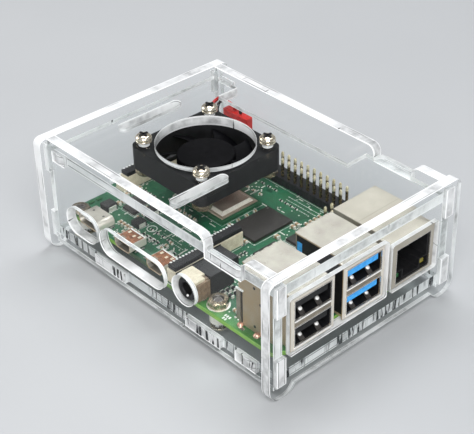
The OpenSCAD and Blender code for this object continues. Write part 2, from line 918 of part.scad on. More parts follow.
module capacitors() {
    color("tan") at_board() {
        row(6, 15.4, 8.2, 1.5, 0, 0.8, 1.5, 0.8);
        row(5, 7.6, 13.8, 0, 1.5, 1.6, 0.8, 0.8);
        row(4, 16.6, 13.6, 0, 1.7, 1, 0.6, 0.5);
        row(5, 22, 20.8, 2.1, 0, 1.0, 0.6, 0.5);
        row(5, 23.2, 42.6, 2.6, 0, 1, 0.6, 0.5);
        row(4, 38.9, 26, 0, 3.2, 0.6, 1.1, 0.5);
        row(1, 52.3, 31.2, 0, 0, 1.6, 1.2, 0.9);
        row(2, 51.9, 37.6, 0, 1.6, 1.7, 0.9, 0.8);
        row(3, 42.6, 23.7, 2.6, 0, 1.2, 0.8, 0.7);
        row(4, 53.6, 41.2, 0, 1.7, 1.4, 0.8, 0.7);
        row(3, 66.6, 4.6, 0, 1.6, 1.4, 0.8, 0.7);
        row(4, 64.6, 14, 1.6, 0, 0.8, 1.4, 0.7);
        row(3, 64.4, 30.6, 0, 1.7, 1.5, 0.8, 0.8);
        row(2, 74.6, 18, 4, 0, 1.4, 1.2, 0.9);
        row(2, 19.6, 4.2, 0, 1.9, 1.1, 0.7, 0.6);
        row(3, 32.8, 8.6, 0, 1.7, 1.1, 0.7, 0.6);
    }
}

module resistors() {
    color("black") at_board() {
        row(5, 24, 9.4, 1.5, 0, 0.6, 1, 0.35);
        row(5, 37, 9.4, 1.5, 0, 0.6, 1, 0.35);
        row(4, 24, 12.4, 2.4, 0, 1, 0.6, 0.35);
        row(6, 22, 47.2, 2.6, 0, 1, 0.6, 0.35);
        row(5, 51.4, 15.2, 0, 1.3, 1, 0.6, 0.35);
        row(4, 55.4, 30.2, 1.6, 0, 0.6, 1, 0.35);
        row(4, 68.4, 3.4, 0, 1.6, 0.6, 1, 0.35);
        row(4, 18, 22.4, 0, 1.6, 1, 0.6, 0.35);
        row(3, 9.6, 20.2, 1.9, 0, 1, 0.6, 0.35);
        row(4, 40, 44.6, 2, 0, 1, 0.6, 0.35);
        row(3, 66.2, 19.8, 0, 1.6, 1, 0.6, 0.35);
    }
}

module crystals() {
    color("silver") at_board() {
        chip(19.6, 31.4, 2.5, 3.2, 0.8);
        chip(56.2, 47, 3.2, 2.5, 0.8);
        chip(60.4, 18.6, 3.2, 2.5, 0.8);
    }
}

module status_lights() {
    color("palegreen") at_board() row(2, 1.8, 8.6, 0, 2.6, 0.8, 1.6, 0.6);
}

// Solder cones and clipped leads under the through-hole parts
module solder_tail() {
    h = 1.2;
    tip_d = 0.7;
    foot_d = 1.5;
    translate([0, 0, -board_t - h]) cylinder(h = h, d1 = tip_d, d2 = foot_d, $fn = 24);
}

module solder_tails() {
    color("silver") at_board() {
        at_header(20, 2, gpio_x, gpio_y) solder_tail();
        at_header(2, 2, poe_x, poe_y) solder_tail();
        at_header(4, 4, 75.4, usb2_y) solder_tail();
        at_header(4, 4, 75.4, usb3_y) solder_tail();
        at_header(5, 2, 74, ethernet_y) solder_tail();
        at_header(2, 3, jack_x, 7) solder_tail();
    }
}

base_plate();
lid_plate();
front_plate();
back_plate();
card_end_plate();
usb_end_plate();
board_screws();
board_nuts();
board_spacers();
fan_frame();
fan_rotor();
fan_shaft();
fan_magnet();
fan_bearing();
fan_stator();
fan_screws();
fan_nuts();
fan_lead_red();
fan_lead_black();
lead_plug();
pcb();
soc_substrate();
soc_heat_spreader();
ram_chip();
usb_controller();
ethernet_phy();
power_chip();
wireless_can();
gpio_header_base();
gpio_pins();
poe_header_base();
poe_pins();
usb_c_shell();
usb_c_tongue();
video_0_shell();
video_0_tongue();
video_1_shell();
video_1_tongue();
audio_jack_housing();
audio_jack_rear();
camera_socket();
camera_latch();
display_socket();
display_latch();
usb2_shell();
usb2_tongues();
usb3_shell();
usb3_tongues();
usb_contacts();
ethernet_shell();
ethernet_insert();
ethernet_lights();
card_socket();
inductors();
capacitors();
resistors();
crystals();
status_lights();
solder_tails();
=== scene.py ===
"""Looks for the single board computer in its clear case: materials, fine parts, light and camera."""

import math
import random

import bmesh
import bpy
from mathutils import Matrix, Vector


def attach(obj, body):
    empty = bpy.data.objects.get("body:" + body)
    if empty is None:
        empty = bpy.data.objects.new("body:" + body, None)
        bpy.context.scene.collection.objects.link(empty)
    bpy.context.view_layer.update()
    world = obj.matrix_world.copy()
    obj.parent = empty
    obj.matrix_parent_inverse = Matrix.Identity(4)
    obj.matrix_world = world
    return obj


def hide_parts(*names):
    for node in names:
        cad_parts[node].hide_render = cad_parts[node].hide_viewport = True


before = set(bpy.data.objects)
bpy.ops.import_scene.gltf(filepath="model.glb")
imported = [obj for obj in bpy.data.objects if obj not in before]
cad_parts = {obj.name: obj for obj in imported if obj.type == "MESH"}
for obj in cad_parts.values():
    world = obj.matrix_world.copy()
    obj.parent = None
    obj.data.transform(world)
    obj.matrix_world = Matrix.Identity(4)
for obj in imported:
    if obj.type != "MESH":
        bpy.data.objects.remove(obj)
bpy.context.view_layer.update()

MM = 0.001
ROOT = "board_and_case"
# The board's corner in the part's own frame. Places below are in millimetres from that
# corner: x to the USB end, y to the pin header, z up from the board's top face.
CORNER = Vector((-41.95, -28.2, 12.0))
BOARD = (85.0, 56.0, 1.4)
PITCH = 2.54


def at(p):
    return (Vector(p) + CORNER) * MM


# ---------------------------------------------------------------- materials


class Tree:
    """A material's node tree, with short calls for the nodes used here."""

    def __init__(self, name):
        self.material = bpy.data.materials.new(name)
        self.material.use_nodes = True
        self.nodes = self.material.node_tree.nodes
        self.links = self.material.node_tree.links
        self.nodes.clear()

    def add(self, kind, out=0, settings=None, **inputs):
        n = self.nodes.new("ShaderNode" + kind)
        for key, value in (settings or {}).items():
            setattr(n, key, value)
        for key, value in inputs.items():
            numbered = key[0] == "i" and key[1:].isdigit()
            socket = n.inputs[int(key[1:]) if numbered else key.replace("_", " ")]
            if isinstance(value, bpy.types.NodeSocket):
                self.links.new(value, socket)
            else:
                socket.default_value = value
        return n.outputs[out]

    def math(self, op, a, b=0.0, c=0.0):
        return self.add("Math", 0, {"operation": op}, i0=a, i1=b, i2=c)

    def mix(self, amount, a, b):
        n = self.nodes.new("ShaderNodeMix")
        n.data_type = "RGBA"
        for index, value in ((0, amount), (6, a), (7, b)):
            if isinstance(value, bpy.types.NodeSocket):
                self.links.new(value, n.inputs[index])
            else:
                n.inputs[index].default_value = value if index == 0 or len(value) == 4 else (*value, 1)
        return n.outputs[2]

    def split(self, kind):
        """X, Y and Z of TexCoord's object place or NewGeometry's true normal."""
        n = self.nodes.new("ShaderNodeSeparateXYZ")
        self.links.new(self.add(kind, 3), n.inputs[0])
        return n.outputs

    def place(self, stretch=(1, 1, 1)):
        where = self.add("TexCoord", 3)
        return self.add("Mapping", Vector=where, Scale=stretch)

    def noise(self, scale, stretch=(1, 1, 1), detail=3.0, rough=0.55):
        return self.add("TexNoise", 0, Vector=self.place(stretch), Scale=scale, Detail=detail,
                        Roughness=rough)

    def ramp(self, value, low, high, a=0.0, b=1.0):
        return self.add("MapRange", 0, Value=value, From_Min=low, From_Max=high, To_Min=a, To_Max=b)

    def bump(self, height, strength=0.3, distance=0.00005):
        return self.add("Bump", 0, Strength=strength, Distance=distance, Height=height)

    def surface(self, **inputs):
        return self.add("BsdfPrincipled", **inputs)

    def finish(self, shader):
        out = self.nodes.new("ShaderNodeOutputMaterial")
        self.links.new(shader, out.inputs["Surface"])
        return self.material


def rgb(r, g, b):
    return (r, g, b, 1.0)


def plain(name, dark, light, rough=(0.4, 0.6), metal=0.0, scale=900.0, stretch=(1, 1, 1), grain=6000.0,
          bump=0.2, specular=0.5, side=None, end=None):
    """Colour and roughness that drift between two values, with a fine grain.

    side and end are colours of painted light and shade, for walls that face along y and along x.
    """
    t = Tree(name)
    drift = t.noise(scale, stretch, 4.0)
    fine = t.noise(grain, stretch, 2.0)
    colour = t.mix(t.ramp(drift, 0.3, 0.7), rgb(*dark), rgb(*light))
    # Painted light and shade: walls facing along y take up to 0.4 of the side colour, walls facing along x
    # the end colour
    if side:
        normal = t.split("NewGeometry")
        colour = t.mix(t.ramp(t.math("ABSOLUTE", normal[1]), 0.4, 0.8), colour,
                       t.mix(t.ramp(drift, 0.3, 0.7, 0.0, 0.4), rgb(*side), colour))
        colour = t.mix(t.ramp(t.math("ABSOLUTE", normal[0]), 0.6, 0.9), colour, rgb(*end))
    roughness = t.ramp(fine, 0.3, 0.7, *rough)
    shader = t.surface(Base_Color=colour, Roughness=roughness, Metallic=metal, Specular_IOR_Level=specular,
                       Normal=t.bump(fine, bump, 0.00002))
    return t.finish(shader)


def acrylic(name, axis, middle, size, dark_from):
    """Clear sheet seen through its faces, with sawn edges that catch the light and carry painted shade, and
    chamfers painted white as highlights.

    axis is its thickness and middle is where its mid-plane lies along that axis, in board millimetres.
    A lower size or dark_from gives the edges wider or more dark marks of painted shade.
    """
    t = Tree(name)
    k = "XYZ".index(axis)
    across = t.math("ABSOLUTE", t.split("NewGeometry")[k])
    is_face = t.math("GREATER_THAN", across, 0.97)
    is_rim = t.math("GREATER_THAN", across, 0.25)
    # Lamps reach what is inside the case through a plain clear stand-in, as for a window
    rays = t.nodes.new("ShaderNodeLightPath").outputs
    passing = t.math("MAXIMUM", rays["Is Shadow Ray"], rays["Is Diffuse Ray"])
    clear = t.add("BsdfTransparent", Color=rgb(0.95, 0.965, 0.962))
    bend = t.add("BsdfRefraction", Color=rgb(0.99, 0.995, 0.995), Roughness=0.0, IOR=1.49)
    gloss = t.add("BsdfGlossy", Color=rgb(1.0, 1.0, 1.0), Roughness=0.02)
    shine = t.math("MULTIPLY", t.add("Fresnel", IOR=1.49), 0.3)
    glass = t.add("MixShader", i0=shine, i1=bend, i2=gloss)
    face = t.add("MixShader", i0=passing, i1=glass, i2=clear)
    # A cut edge is frosted white, with painted shade for the darker surroundings seen through it: greyer in
    # long stretches between its arrises, with a few dark streaks and broken dark lines along its arrises
    off = t.math("ABSOLUTE", t.math("SUBTRACT", t.split("TexCoord")[k], (middle + CORNER[k]) * MM))
    inner = t.ramp(off, 1.3 * MM, 0.9 * MM)
    stretch = tuple(0.12 if a == axis else 1.0 for a in "XYZ")
    marks = t.noise(size, stretch, 2.5, 0.5)
    broad = t.noise(75.0, stretch, 3.0)
    cloud = t.noise(400.0, detail=4.0)
    painted_grey = t.math("MULTIPLY", inner, t.math("MULTIPLY", t.ramp(broad, 0.42, 0.6),
                                            t.ramp(cloud, 0.3, 0.7, 0.12, 0.5)))
    painted_streak = t.math("MULTIPLY", t.ramp(marks, dark_from, dark_from + 0.07), t.ramp(broad, 0.4, 0.5))
    arris_at = 1.05 * MM
    arris = t.ramp(t.math("ABSOLUTE", t.math("SUBTRACT", off, arris_at)), 0.22 * MM, 0.06 * MM)
    line = t.math("MULTIPLY", arris, t.ramp(t.noise(60.0, detail=2.0), 0.47, 0.6, 0.0, 0.75))
    shade = t.math("SUBTRACT", 1.0, t.math("MAXIMUM", t.math("MAXIMUM", painted_grey, painted_streak), line))
    white = t.mix(shade, rgb(0.09, 0.095, 0.1), rgb(0.97, 0.975, 0.98))
    frost = t.surface(Base_Color=white, Roughness=0.25, Normal=t.bump(marks, 0.3, 0.00004))
    glow = t.add("BsdfTranslucent", Color=white)
    solid = t.add("MixShader", i0=0.3, i1=frost, i2=glow)
    edge = t.add("MixShader", i0=t.ramp(shade, 0.1, 0.8, 0.45, 0.03), i1=solid, i2=face)
    # Painted highlight: the chamfer between face and edge is near white
    rim = t.surface(Base_Color=rgb(0.985, 0.99, 0.99), Roughness=0.15)
    sides = t.add("MixShader", i0=is_rim, i1=edge, i2=rim)
    return t.finish(t.add("MixShader", i0=is_face, i1=sides, i2=face))


def board_mask(name):
    """Solder mask over copper pours, with a laminate edge painted bright with light in patches and toward
    the USB end, and painted dark as shade elsewhere.
    """
    t = Tree(name)
    is_edge = t.math("LESS_THAN", t.math("ABSOLUTE", t.split("NewGeometry")[2]), 0.5)
    pour = t.add("TexVoronoi", 1, Vector=t.place(), Scale=130.0)
    tone = t.add("SeparateColor", 0, Color=pour)
    weave = t.noise(2600.0, detail=2.0)
    drift = t.noise(70.0)
    green = t.mix(t.ramp(tone, 0.35, 0.4), rgb(0.002, 0.05, 0.026), rgb(0.006, 0.092, 0.038))
    green = t.mix(t.ramp(drift, 0.3, 0.75, 0.0, 0.5), green, rgb(0.013, 0.135, 0.046))
    # Painted light: light that leaks along the bare front edge, most of all toward the USB end
    place = t.split("TexCoord")
    to_usb = t.ramp(place[0], (46 + CORNER.x) * MM, (58 + CORNER.x) * MM)
    to_front = t.ramp(place[1], (6.5 + CORNER.y) * MM, CORNER.y * MM)
    painted_leak = t.math("MULTIPLY", to_usb, t.math("POWER", to_front, 1.8))
    green = t.mix(t.math("MULTIPLY", painted_leak, 0.55), green, rgb(0.075, 0.3, 0.02))
    # The edge face: painted light toward the USB end and in random patches, painted shade elsewhere
    layers = t.noise(2200.0, (0.15, 0.15, 4.0), 2.0)
    patches = t.ramp(t.noise(120.0), 0.5, 0.62, 0.05, 0.9)
    painted_edge_light_and_shade = t.mix(t.ramp(layers, 0.35, 0.65), rgb(0.12, 0.3, 0.03), rgb(0.26, 0.5, 0.07))
    painted_edge_light_and_shade = t.mix(t.math("MAXIMUM", to_usb, patches), rgb(0.006, 0.03, 0.012), painted_edge_light_and_shade)
    colour = t.mix(is_edge, green, painted_edge_light_and_shade)
    rough = t.ramp(weave, 0.3, 0.7, 0.28, 0.4)
    return t.finish(t.surface(Base_Color=colour, Roughness=rough, Normal=t.bump(weave, 0.15, 0.00001),
                              Specular_IOR_Level=0.55))


def pin_metal(name, tip_z):
    """Gold-plated pins, painted dark below as shade and bright at their tips as a highlight, from tip_z
    board millimetres up.
    """
    t = Tree(name)
    tip = t.ramp(t.split("TexCoord")[2], (tip_z + CORNER.z) * MM, (tip_z + 0.7 + CORNER.z) * MM)
    worn = t.noise(1800.0)
    low = t.mix(t.ramp(worn, 0.3, 0.7), rgb(0.05, 0.035, 0.012), rgb(0.22, 0.16, 0.06))
    high = t.mix(t.ramp(worn, 0.3, 0.7), rgb(0.85, 0.72, 0.42), rgb(1.0, 0.93, 0.72))
    return t.finish(t.surface(Base_Color=t.mix(tip, low, high), Metallic=t.ramp(tip, 0, 1, 0.75, 0.35),
                              Roughness=t.ramp(worn, 0.3, 0.7, 0.2, 0.36)))


def threaded(name, colour, pitch=0.00045):
    """Plated steel whose upright walls carry a fine thread."""
    t = Tree(name)
    # A wave texture of scale 1 repeats every 0.314
    rings = t.add("TexWave", 1, {"bands_direction": "Z", "wave_profile": "TRI"}, Vector=t.place(),
                  Scale=0.314 / pitch, Distortion=0.0)
    worn = t.noise(2500.0)
    base = t.mix(t.ramp(worn, 0.3, 0.75), rgb(*(c * 0.8 for c in colour)), rgb(*colour))
    return t.finish(t.surface(Base_Color=base, Metallic=1.0, Roughness=t.ramp(worn, 0.3, 0.7, 0.16, 0.34),
                              Normal=t.bump(rings, 0.9, 0.0002)))


M = {
    "mask": board_mask("board_mask"),
    "trace": plain("board_trace", (0.008, 0.12, 0.055), (0.018, 0.18, 0.085), (0.25, 0.4)),
    "legend": plain("board_legend", (0.62, 0.64, 0.6), (0.8, 0.82, 0.78), (0.5, 0.7), scale=3000.0),
    "pad": plain("tinned_pad", (0.66, 0.64, 0.58), (0.92, 0.9, 0.84), (0.25, 0.42), 0.5, 2500.0),
    "solder": plain("solder", (0.55, 0.56, 0.56), (0.82, 0.82, 0.8), (0.12, 0.3), 1.0, 3000.0),
    "gold": plain("gold_pin", (0.78, 0.6, 0.28), (0.95, 0.82, 0.5), (0.16, 0.3), 1.0, 2000.0),
    "pin": pin_metal("header_pin", 6.6),
    # Socket steel: a painted brown reflection on walls facing along y and painted light on walls facing
    # along x
    "shell": plain("socket_shell", (0.31, 0.285, 0.245), (0.42, 0.395, 0.345), (0.38, 0.5), 0.5, 260.0,
                   grain=5000.0, bump=0.1, side=(0.4, 0.3, 0.18), end=(0.74, 0.7, 0.62)),
    "can": plain("network_socket_can", (0.4, 0.365, 0.305), (0.5, 0.465, 0.395), (0.34, 0.42), 0.6, 120.0,
                 grain=7000.0, bump=0.05),
    "copper_tint": plain("copper_tinted_shell", (0.13, 0.045, 0.02), (0.4, 0.17, 0.08), (0.25, 0.4), 0.6,
                         600.0),
    "bar": plain("socket_bar", (0.2, 0.17, 0.13), (0.32, 0.28, 0.22), (0.3, 0.45), 0.6, 420.0),
    "bright": plain("bright_steel", (0.6, 0.58, 0.54), (0.84, 0.82, 0.78), (0.14, 0.3), 0.85, 1500.0),
    "screw": plain("polished_screw", (0.62, 0.54, 0.4), (0.97, 0.91, 0.77), (0.14, 0.26), 0.85, 700.0),
    # Near-white patches of painted highlight
    "glint": plain("painted_highlight", (0.8, 0.8, 0.78), (0.94, 0.94, 0.92), (0.2, 0.3), 0.2, 2000.0),
    "nut": plain("plated_nut", (0.2, 0.15, 0.09), (0.66, 0.57, 0.43), (0.14, 0.28), 0.95, 900.0),
    "thread": threaded("screw_thread", (0.8, 0.78, 0.73)),
    # Processor lid: painted dark brown as a reflection of the fan above it
    "nickel": plain("nickel_lid_painted_fan_reflection", (0.32, 0.25, 0.19), (0.6, 0.5, 0.4), (0.26, 0.36), 0.6, 90.0,
                    grain=9000.0),
    # Lid bevel: painted bright as a highlight
    "bevel": plain("lid_bevel_painted_highlight", (0.74, 0.69, 0.6), (0.92, 0.88, 0.8), (0.25, 0.38), 0.35, 400.0),
    "black": plain("black_plastic", (0.006, 0.006, 0.007), (0.014, 0.014, 0.015), (0.38, 0.55),
                   specular=0.3),
    "fan": plain("fan_plastic", (0.006, 0.006, 0.007), (0.012, 0.012, 0.013), (0.5, 0.68), scale=500.0,
                 bump=0.4, specular=0.3),
    "wheel": plain("fan_wheel_plastic", (0.001, 0.001, 0.0014), (0.003, 0.003, 0.004), (0.5, 0.65),
                   scale=500.0, specular=0.06),
    "epoxy": plain("chip_epoxy", (0.014, 0.012, 0.01), (0.026, 0.023, 0.02), (0.5, 0.68), scale=1400.0,
                   bump=0.5, specular=0.35),
    "laminate": plain("chip_laminate", (0.01, 0.07, 0.03), (0.02, 0.12, 0.05), (0.3, 0.5)),
    "ceramic": plain("ceramic", (0.30, 0.19, 0.10), (0.48, 0.33, 0.2), (0.35, 0.5), scale=1500.0),
    # Black, also used as painted shade in mouths, slots, dents, recesses and gaps
    "film": plain("resistor_black_and_painted_shade", (0.004, 0.004, 0.005), (0.012, 0.012, 0.013), (0.3, 0.45),
                  specular=0.25),
    "ferrite": plain("ferrite", (0.008, 0.008, 0.008), (0.02, 0.019, 0.018), (0.45, 0.65), scale=2000.0,
                     bump=0.5, specular=0.3),
    "cream": plain("cream_plastic", (0.62, 0.54, 0.4), (0.78, 0.71, 0.56), (0.4, 0.55)),
    # The cream plastic's side in shade, painted brown
    "tan": plain("cream_plastic_painted_shade", (0.12, 0.075, 0.045), (0.26, 0.18, 0.11), (0.4, 0.55)),
    "blue": plain("blue_plastic", (0.015, 0.28, 0.75), (0.06, 0.45, 0.95), (0.3, 0.45)),
    "nylon": plain("nylon", (0.62, 0.6, 0.54), (0.78, 0.76, 0.7), (0.45, 0.6)),
    "bronze": plain("sintered_bronze", (0.45, 0.27, 0.09), (0.62, 0.42, 0.17), (0.3, 0.5), 1.0),
    "copper": plain("copper_winding", (0.42, 0.15, 0.05), (0.68, 0.28, 0.1), (0.2, 0.35), 0.9,
                    stretch=(1, 1, 14), bump=0.7),
    "salmon": plain("warm_solder", (0.62, 0.3, 0.2), (0.85, 0.6, 0.48), (0.14, 0.26), 0.6, 1200.0),
    "red": plain("red_plastic", (0.62, 0.012, 0.01), (0.85, 0.03, 0.02), (0.3, 0.45)),
    "red_lead": plain("red_insulation", (0.48, 0.01, 0.01), (0.66, 0.02, 0.02), (0.35, 0.5)),
    "black_lead": plain("black_insulation", (0.012, 0.012, 0.012), (0.03, 0.03, 0.03), (0.4, 0.55)),
    "amber": plain("amber_light", (0.16, 0.13, 0.015), (0.34, 0.3, 0.06), (0.2, 0.35)),
    "lime": plain("green_light", (0.01, 0.07, 0.02), (0.03, 0.16, 0.05), (0.2, 0.35)),
    "white": plain("white_plastic", (0.7, 0.7, 0.68), (0.84, 0.84, 0.82), (0.35, 0.5)),
    # Dark metal, also used as painted shade on the sprung leaves, screw ends, nut bores and can vents
    "dark_metal": plain("dark_metal", (0.08, 0.07, 0.065), (0.16, 0.15, 0.14), (0.3, 0.45), 0.8),
}


# ---------------------------------------------------------------- shapes


def circle(centre, u, v, radius, sides):
    """Points round a circle in the plane of the unit vectors u and v."""
    turns = [k * math.tau / sides for k in range(sides)]
    return [centre + (u * math.cos(a) + v * math.sin(a)) * radius for a in turns]


class Shape:
    """A mesh gathered from simple solids given in board millimetres."""

    def __init__(self):
        self.points, self.faces, self.kinds, self.round = [], [], [], []

    def put(self, points, faces, kind, smooth=False):
        start = len(self.points)
        self.points += [tuple(p) for p in points]
        for f in faces:
            self.faces.append([start + i for i in f])
            self.kinds.append(kind)
            self.round.append(smooth)

    def box(self, a, b, kind, chamfer=0.0, top_only=False):
        """A box from corner a to corner b. A chamfer narrows its top, and its foot too unless top_only."""
        (x0, y0, z0), (x1, y1, z1) = a, b
        foot = [(z0, 0)] if top_only or not chamfer else [(z0, chamfer), (z0 + chamfer, 0)]
        top = [(z1 - chamfer, 0), (z1, chamfer)] if chamfer else [(z1, 0)]
        rings = [[(x0 + i, y0 + i, z), (x1 - i, y0 + i, z), (x1 - i, y1 - i, z), (x0 + i, y1 - i, z)]
                 for z, i in foot + top]
        self.loft(rings, kind)

    def loft(self, rings, kind, smooth=False, caps=True):
        """A skin over rings of equally many points, closed by flat caps unless caps is False."""
        n = len(rings[0])
        points = [p for ring in rings for p in ring]
        faces = [[r * n + k, r * n + (k + 1) % n, (r + 1) * n + (k + 1) % n, (r + 1) * n + k]
                 for r in range(len(rings) - 1) for k in range(n)]
        self.put(points, faces, kind, smooth)
        if caps:
            self.put(rings[0][::-1], [list(range(n))], kind)
            self.put(rings[-1], [list(range(n))], kind)

    def lathe(self, centre, axis, profile, kind, sides=32, caps=True):
        """profile: (radius, distance along axis) pairs."""
        a = Vector(axis).normalized()
        u = a.orthogonal().normalized()
        v = a.cross(u)
        rings = [circle(Vector(centre) + a * h, u, v, r, sides) for r, h in profile]
        self.loft(rings, kind, True, caps)

    def tube(self, path, width, kind, sides=8):
        """A round bar along path. No bar here runs along the direction that u is crossed with."""
        path = [Vector(p) for p in path]
        rings = []
        for i, p in enumerate(path):
            a = (path[min(i + 1, len(path) - 1)] - path[max(i - 1, 0)]).normalized()
            u = a.cross(Vector((0.31, 0.17, 1.0))).normalized()
            v = a.cross(u)
            rings.append(circle(p, u, v, width / 2, sides))
        self.loft(rings, kind, True)

    def done(self, name, slot, kinds, body=ROOT, replaces=(), bevel=0.0):
        """Makes the object. kinds gives the material of each kind that isn't a material's own name."""
        mesh = bpy.data.meshes.new(name)
        mesh.from_pydata([at(p) for p in self.points], [], self.faces)
        order = sorted(set(self.kinds))
        for k in order:
            mesh.materials.append(M[kinds.get(k, k)])
        for poly, kind, smooth in zip(mesh.polygons, self.kinds, self.round):
            poly.material_index = order.index(kind)
            poly.use_smooth = smooth
        bm = bmesh.new()
        bm.from_mesh(mesh)
        bmesh.ops.remove_doubles(bm, verts=bm.verts, dist=1e-7)
        bmesh.ops.recalc_face_normals(bm, faces=bm.faces)
        bm.to_mesh(mesh)
        bm.free()
        obj = bpy.data.objects.new(name, mesh)
        bpy.context.scene.collection.objects.link(obj)
        if bevel:
            round_off(obj, bevel, 2)
        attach(obj, body)
        if replaces:
            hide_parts(*replaces)
        return obj


def round_off(obj, width_mm, segments):
    """Rounds edges that turn by more than 35 degrees."""
    m = obj.modifiers.new("bevel", "BEVEL")
    m.width = width_mm * MM
    m.segments = segments
    m.limit_method = "ANGLE"
    m.angle_limit = math.radians(35.0)
    m.use_clamp_overlap = True


def paint(node, material, bevel_mm):
    """Gives a CAD node its material, joins its split corners, merges flat triangles and rounds edges."""
    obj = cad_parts[node]
    obj.data.materials.clear()
    obj.data.materials.append(M[material])
    w = obj.modifiers.new("join", "WELD")
    w.merge_threshold = 2e-6
    d = obj.modifiers.new("flat", "DECIMATE")
    d.decimate_type = "DISSOLVE"
    d.angle_limit = math.radians(0.3)
    if bevel_mm:
        round_off(obj, bevel_mm, 1)


def solids(node):
    """(low, high) corners in board millimetres of each separate solid of a CAD node."""
    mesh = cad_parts[node].data
    keys = {}
    first = [keys.setdefault(tuple(round(c * 1e6) for c in v.co), i) for i, v in enumerate(mesh.vertices)]
    parent = list(range(len(mesh.vertices)))

    def root(i):
        while parent[i] != i:
            parent[i] = parent[parent[i]]
            i = parent[i]
        return i

    for e in mesh.edges:
        a, b = root(first[e.vertices[0]]), root(first[e.vertices[1]])
        parent[a] = b
    groups = {}
    for i, v in enumerate(mesh.vertices):
        groups.setdefault(root(first[i]), []).append(v.co / MM - CORNER)
    found = [(Vector((min(p[k] for p in g) for k in range(3))),
              Vector((max(p[k] for p in g) for k in range(3))))
             for g in groups.values()]
    return sorted(found, key=lambda s: (round(s[0].x, 2), round(s[0].y, 2), round(s[0].z, 2)))


# ---------------------------------------------------------------- case

for name, axis, middle, marks in (
    ("lid_plate", "Z", 19.5, (700.0, 0.68)), ("base_plate", "Z", -6.4, (1000.0, 0.5)),
    ("front_plate", "Y", -2.1, (700.0, 0.68)), ("back_plate", "Y", 58.5, (700.0, 0.68)),
    ("card_end_plate", "X", -3.1, (700.0, 0.68)), ("usb_end_plate", "X", 87.0, (700.0, 0.68)),
):
    M[name] = acrylic("clear_" + name, axis, middle, *marks)
    paint(name, name, 0.18)

for key, bevel, names in (
    ("mask", 0.05, "pcb"), ("laminate", 0.05, "soc_substrate"), ("nickel", 0.1, "soc_heat_spreader"),
    ("nut", 0, "board_nuts fan_nuts"), ("nylon", 0.1, "board_spacers"),
    ("thread", 0.1, "board_screws fan_screws"), ("fan", 0.25, "fan_frame"), ("fan", 0.2, "fan_rotor"),
    ("wheel", 0, "fan_shaft"), ("ferrite", 0, "fan_magnet"), ("bronze", 0, "fan_bearing"),
    ("copper", 0.1, "fan_stator"), ("red_lead", 0, "fan_lead_red"), ("black_lead", 0, "fan_lead_black"),
    ("red", 0.2, "lead_plug"), ("black", 0.12, "gpio_header_base poe_header_base ethernet_insert"),
    ("pin", 0.04, "gpio_pins poe_pins"), ("black", 0.08, "usb_c_tongue video_0_tongue video_1_tongue"),
    ("black", 0.15, "usb2_tongues camera_latch display_latch audio_jack_rear"),
    ("blue", 0.15, "usb3_tongues"), ("gold", 0.05, "usb_contacts"), ("solder", 0, "solder_tails"),
    ("shell", 0.08, "card_socket usb_c_shell video_0_shell video_1_shell"),
    ("shell", 0.1, "usb2_shell usb3_shell"), ("shell", 0.2, "wireless_can"), ("can", 0.1, "ethernet_shell"),
    ("epoxy", 0.08, "ram_chip usb_controller ethernet_phy power_chip"),
    ("cream", 0.15, "audio_jack_housing"), ("cream", 0.1, "camera_socket display_socket"),
    ("amber", 0.1, "ethernet_lights"), ("lime", 0.05, "status_lights"), ("ferrite", 0.3, "inductors"),
    ("ceramic", 0.05, "capacitors"), ("film", 0.03, "resistors"), ("bright", 0.1, "crystals"),
):
    for name in names.split():
        paint(name, key, bevel)

# Smooth leads
for name in ("fan_lead_red", "fan_lead_black"):
    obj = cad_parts[name]
    obj.modifiers.remove(obj.modifiers["flat"])
    round_tube = obj.modifiers.new("round", "SUBSURF")
    round_tube.levels = round_tube.render_levels = 2

# Surface-mount parts: a body with two tinned ends, on pads that reach a little past it
PAD_OUT, PAD_SIDE, PAD_T = 0.22, 0.06, 0.03
beside_jack = [(Vector((x - 0.8, y - 0.45, 0)), Vector((x + 0.8, y + 0.45, 0.75)))
               for x, y in ((59.0, 7.4), (59.2, 9.0), (59.4, 10.6), (61.3, 7.9), (61.5, 9.6))]
pads = Shape()
for node, kind, end, slot, extra in (("capacitors", "ceramic", 0.24, "ceramic", []),
                                     ("resistors", "film", 0.18, "chip_black", beside_jack)):
    parts = Shape()
    for low, high in solids(node) + extra:
        k = 0 if high.x - low.x > high.y - low.y else 1
        size = high[k] - low[k]
        cuts = [low[k], low[k] + size * end, high[k] - size * end, high[k]]
        for i in range(3):
            a, b = low.copy(), high.copy()
            a[k], b[k] = cuts[i], cuts[i + 1]
            if i == 1:
                inset = Vector((0.02, 0.02, 0.0))
                inset[k] = 0
                parts.box(a + inset, b - inset - Vector((0, 0, 0.02)), kind)
            else:
                parts.box(a, b, "pad", 0.03)
        margin = Vector((PAD_SIDE, PAD_SIDE, 0))
        for edge, out in ((low[k], -PAD_OUT), (high[k], PAD_OUT)):
            a, b = low - margin, high + margin
            a[k], b[k] = min(edge - out * 0.8, edge + out), max(edge - out * 0.8, edge + out)
            a.z, b.z = 0.0, PAD_T
            pads.box(a, b, "solder")
    parts.done(node + "_fine", slot, {}, replaces=(node,))

# Inductors: moulded blocks with folded end plates
coils = Shape()
for low, high in solids("inductors"):
    coils.box(low + Vector((0.12, 0, 0)), high - Vector((0.12, 0, 0)), "ferrite", 0.28, True)
    for x0, x1 in ((low.x, low.x + 0.14), (high.x - 0.14, high.x)):
        coils.box((x0, low.y + 0.5, 0), (x1, high.y - 0.5, (high.z - low.z) * 0.7), "pad")
    for x0, x1 in ((low.x - 0.25, low.x + 0.2), (high.x - 0.2, high.x + 0.25)):
        pads.box((x0, low.y + 0.35, 0), (x1, high.y - 0.35, PAD_T), "solder")
coils.done("inductors_fine", "ferrite", {}, replaces=("inductors",), bevel=0.08)

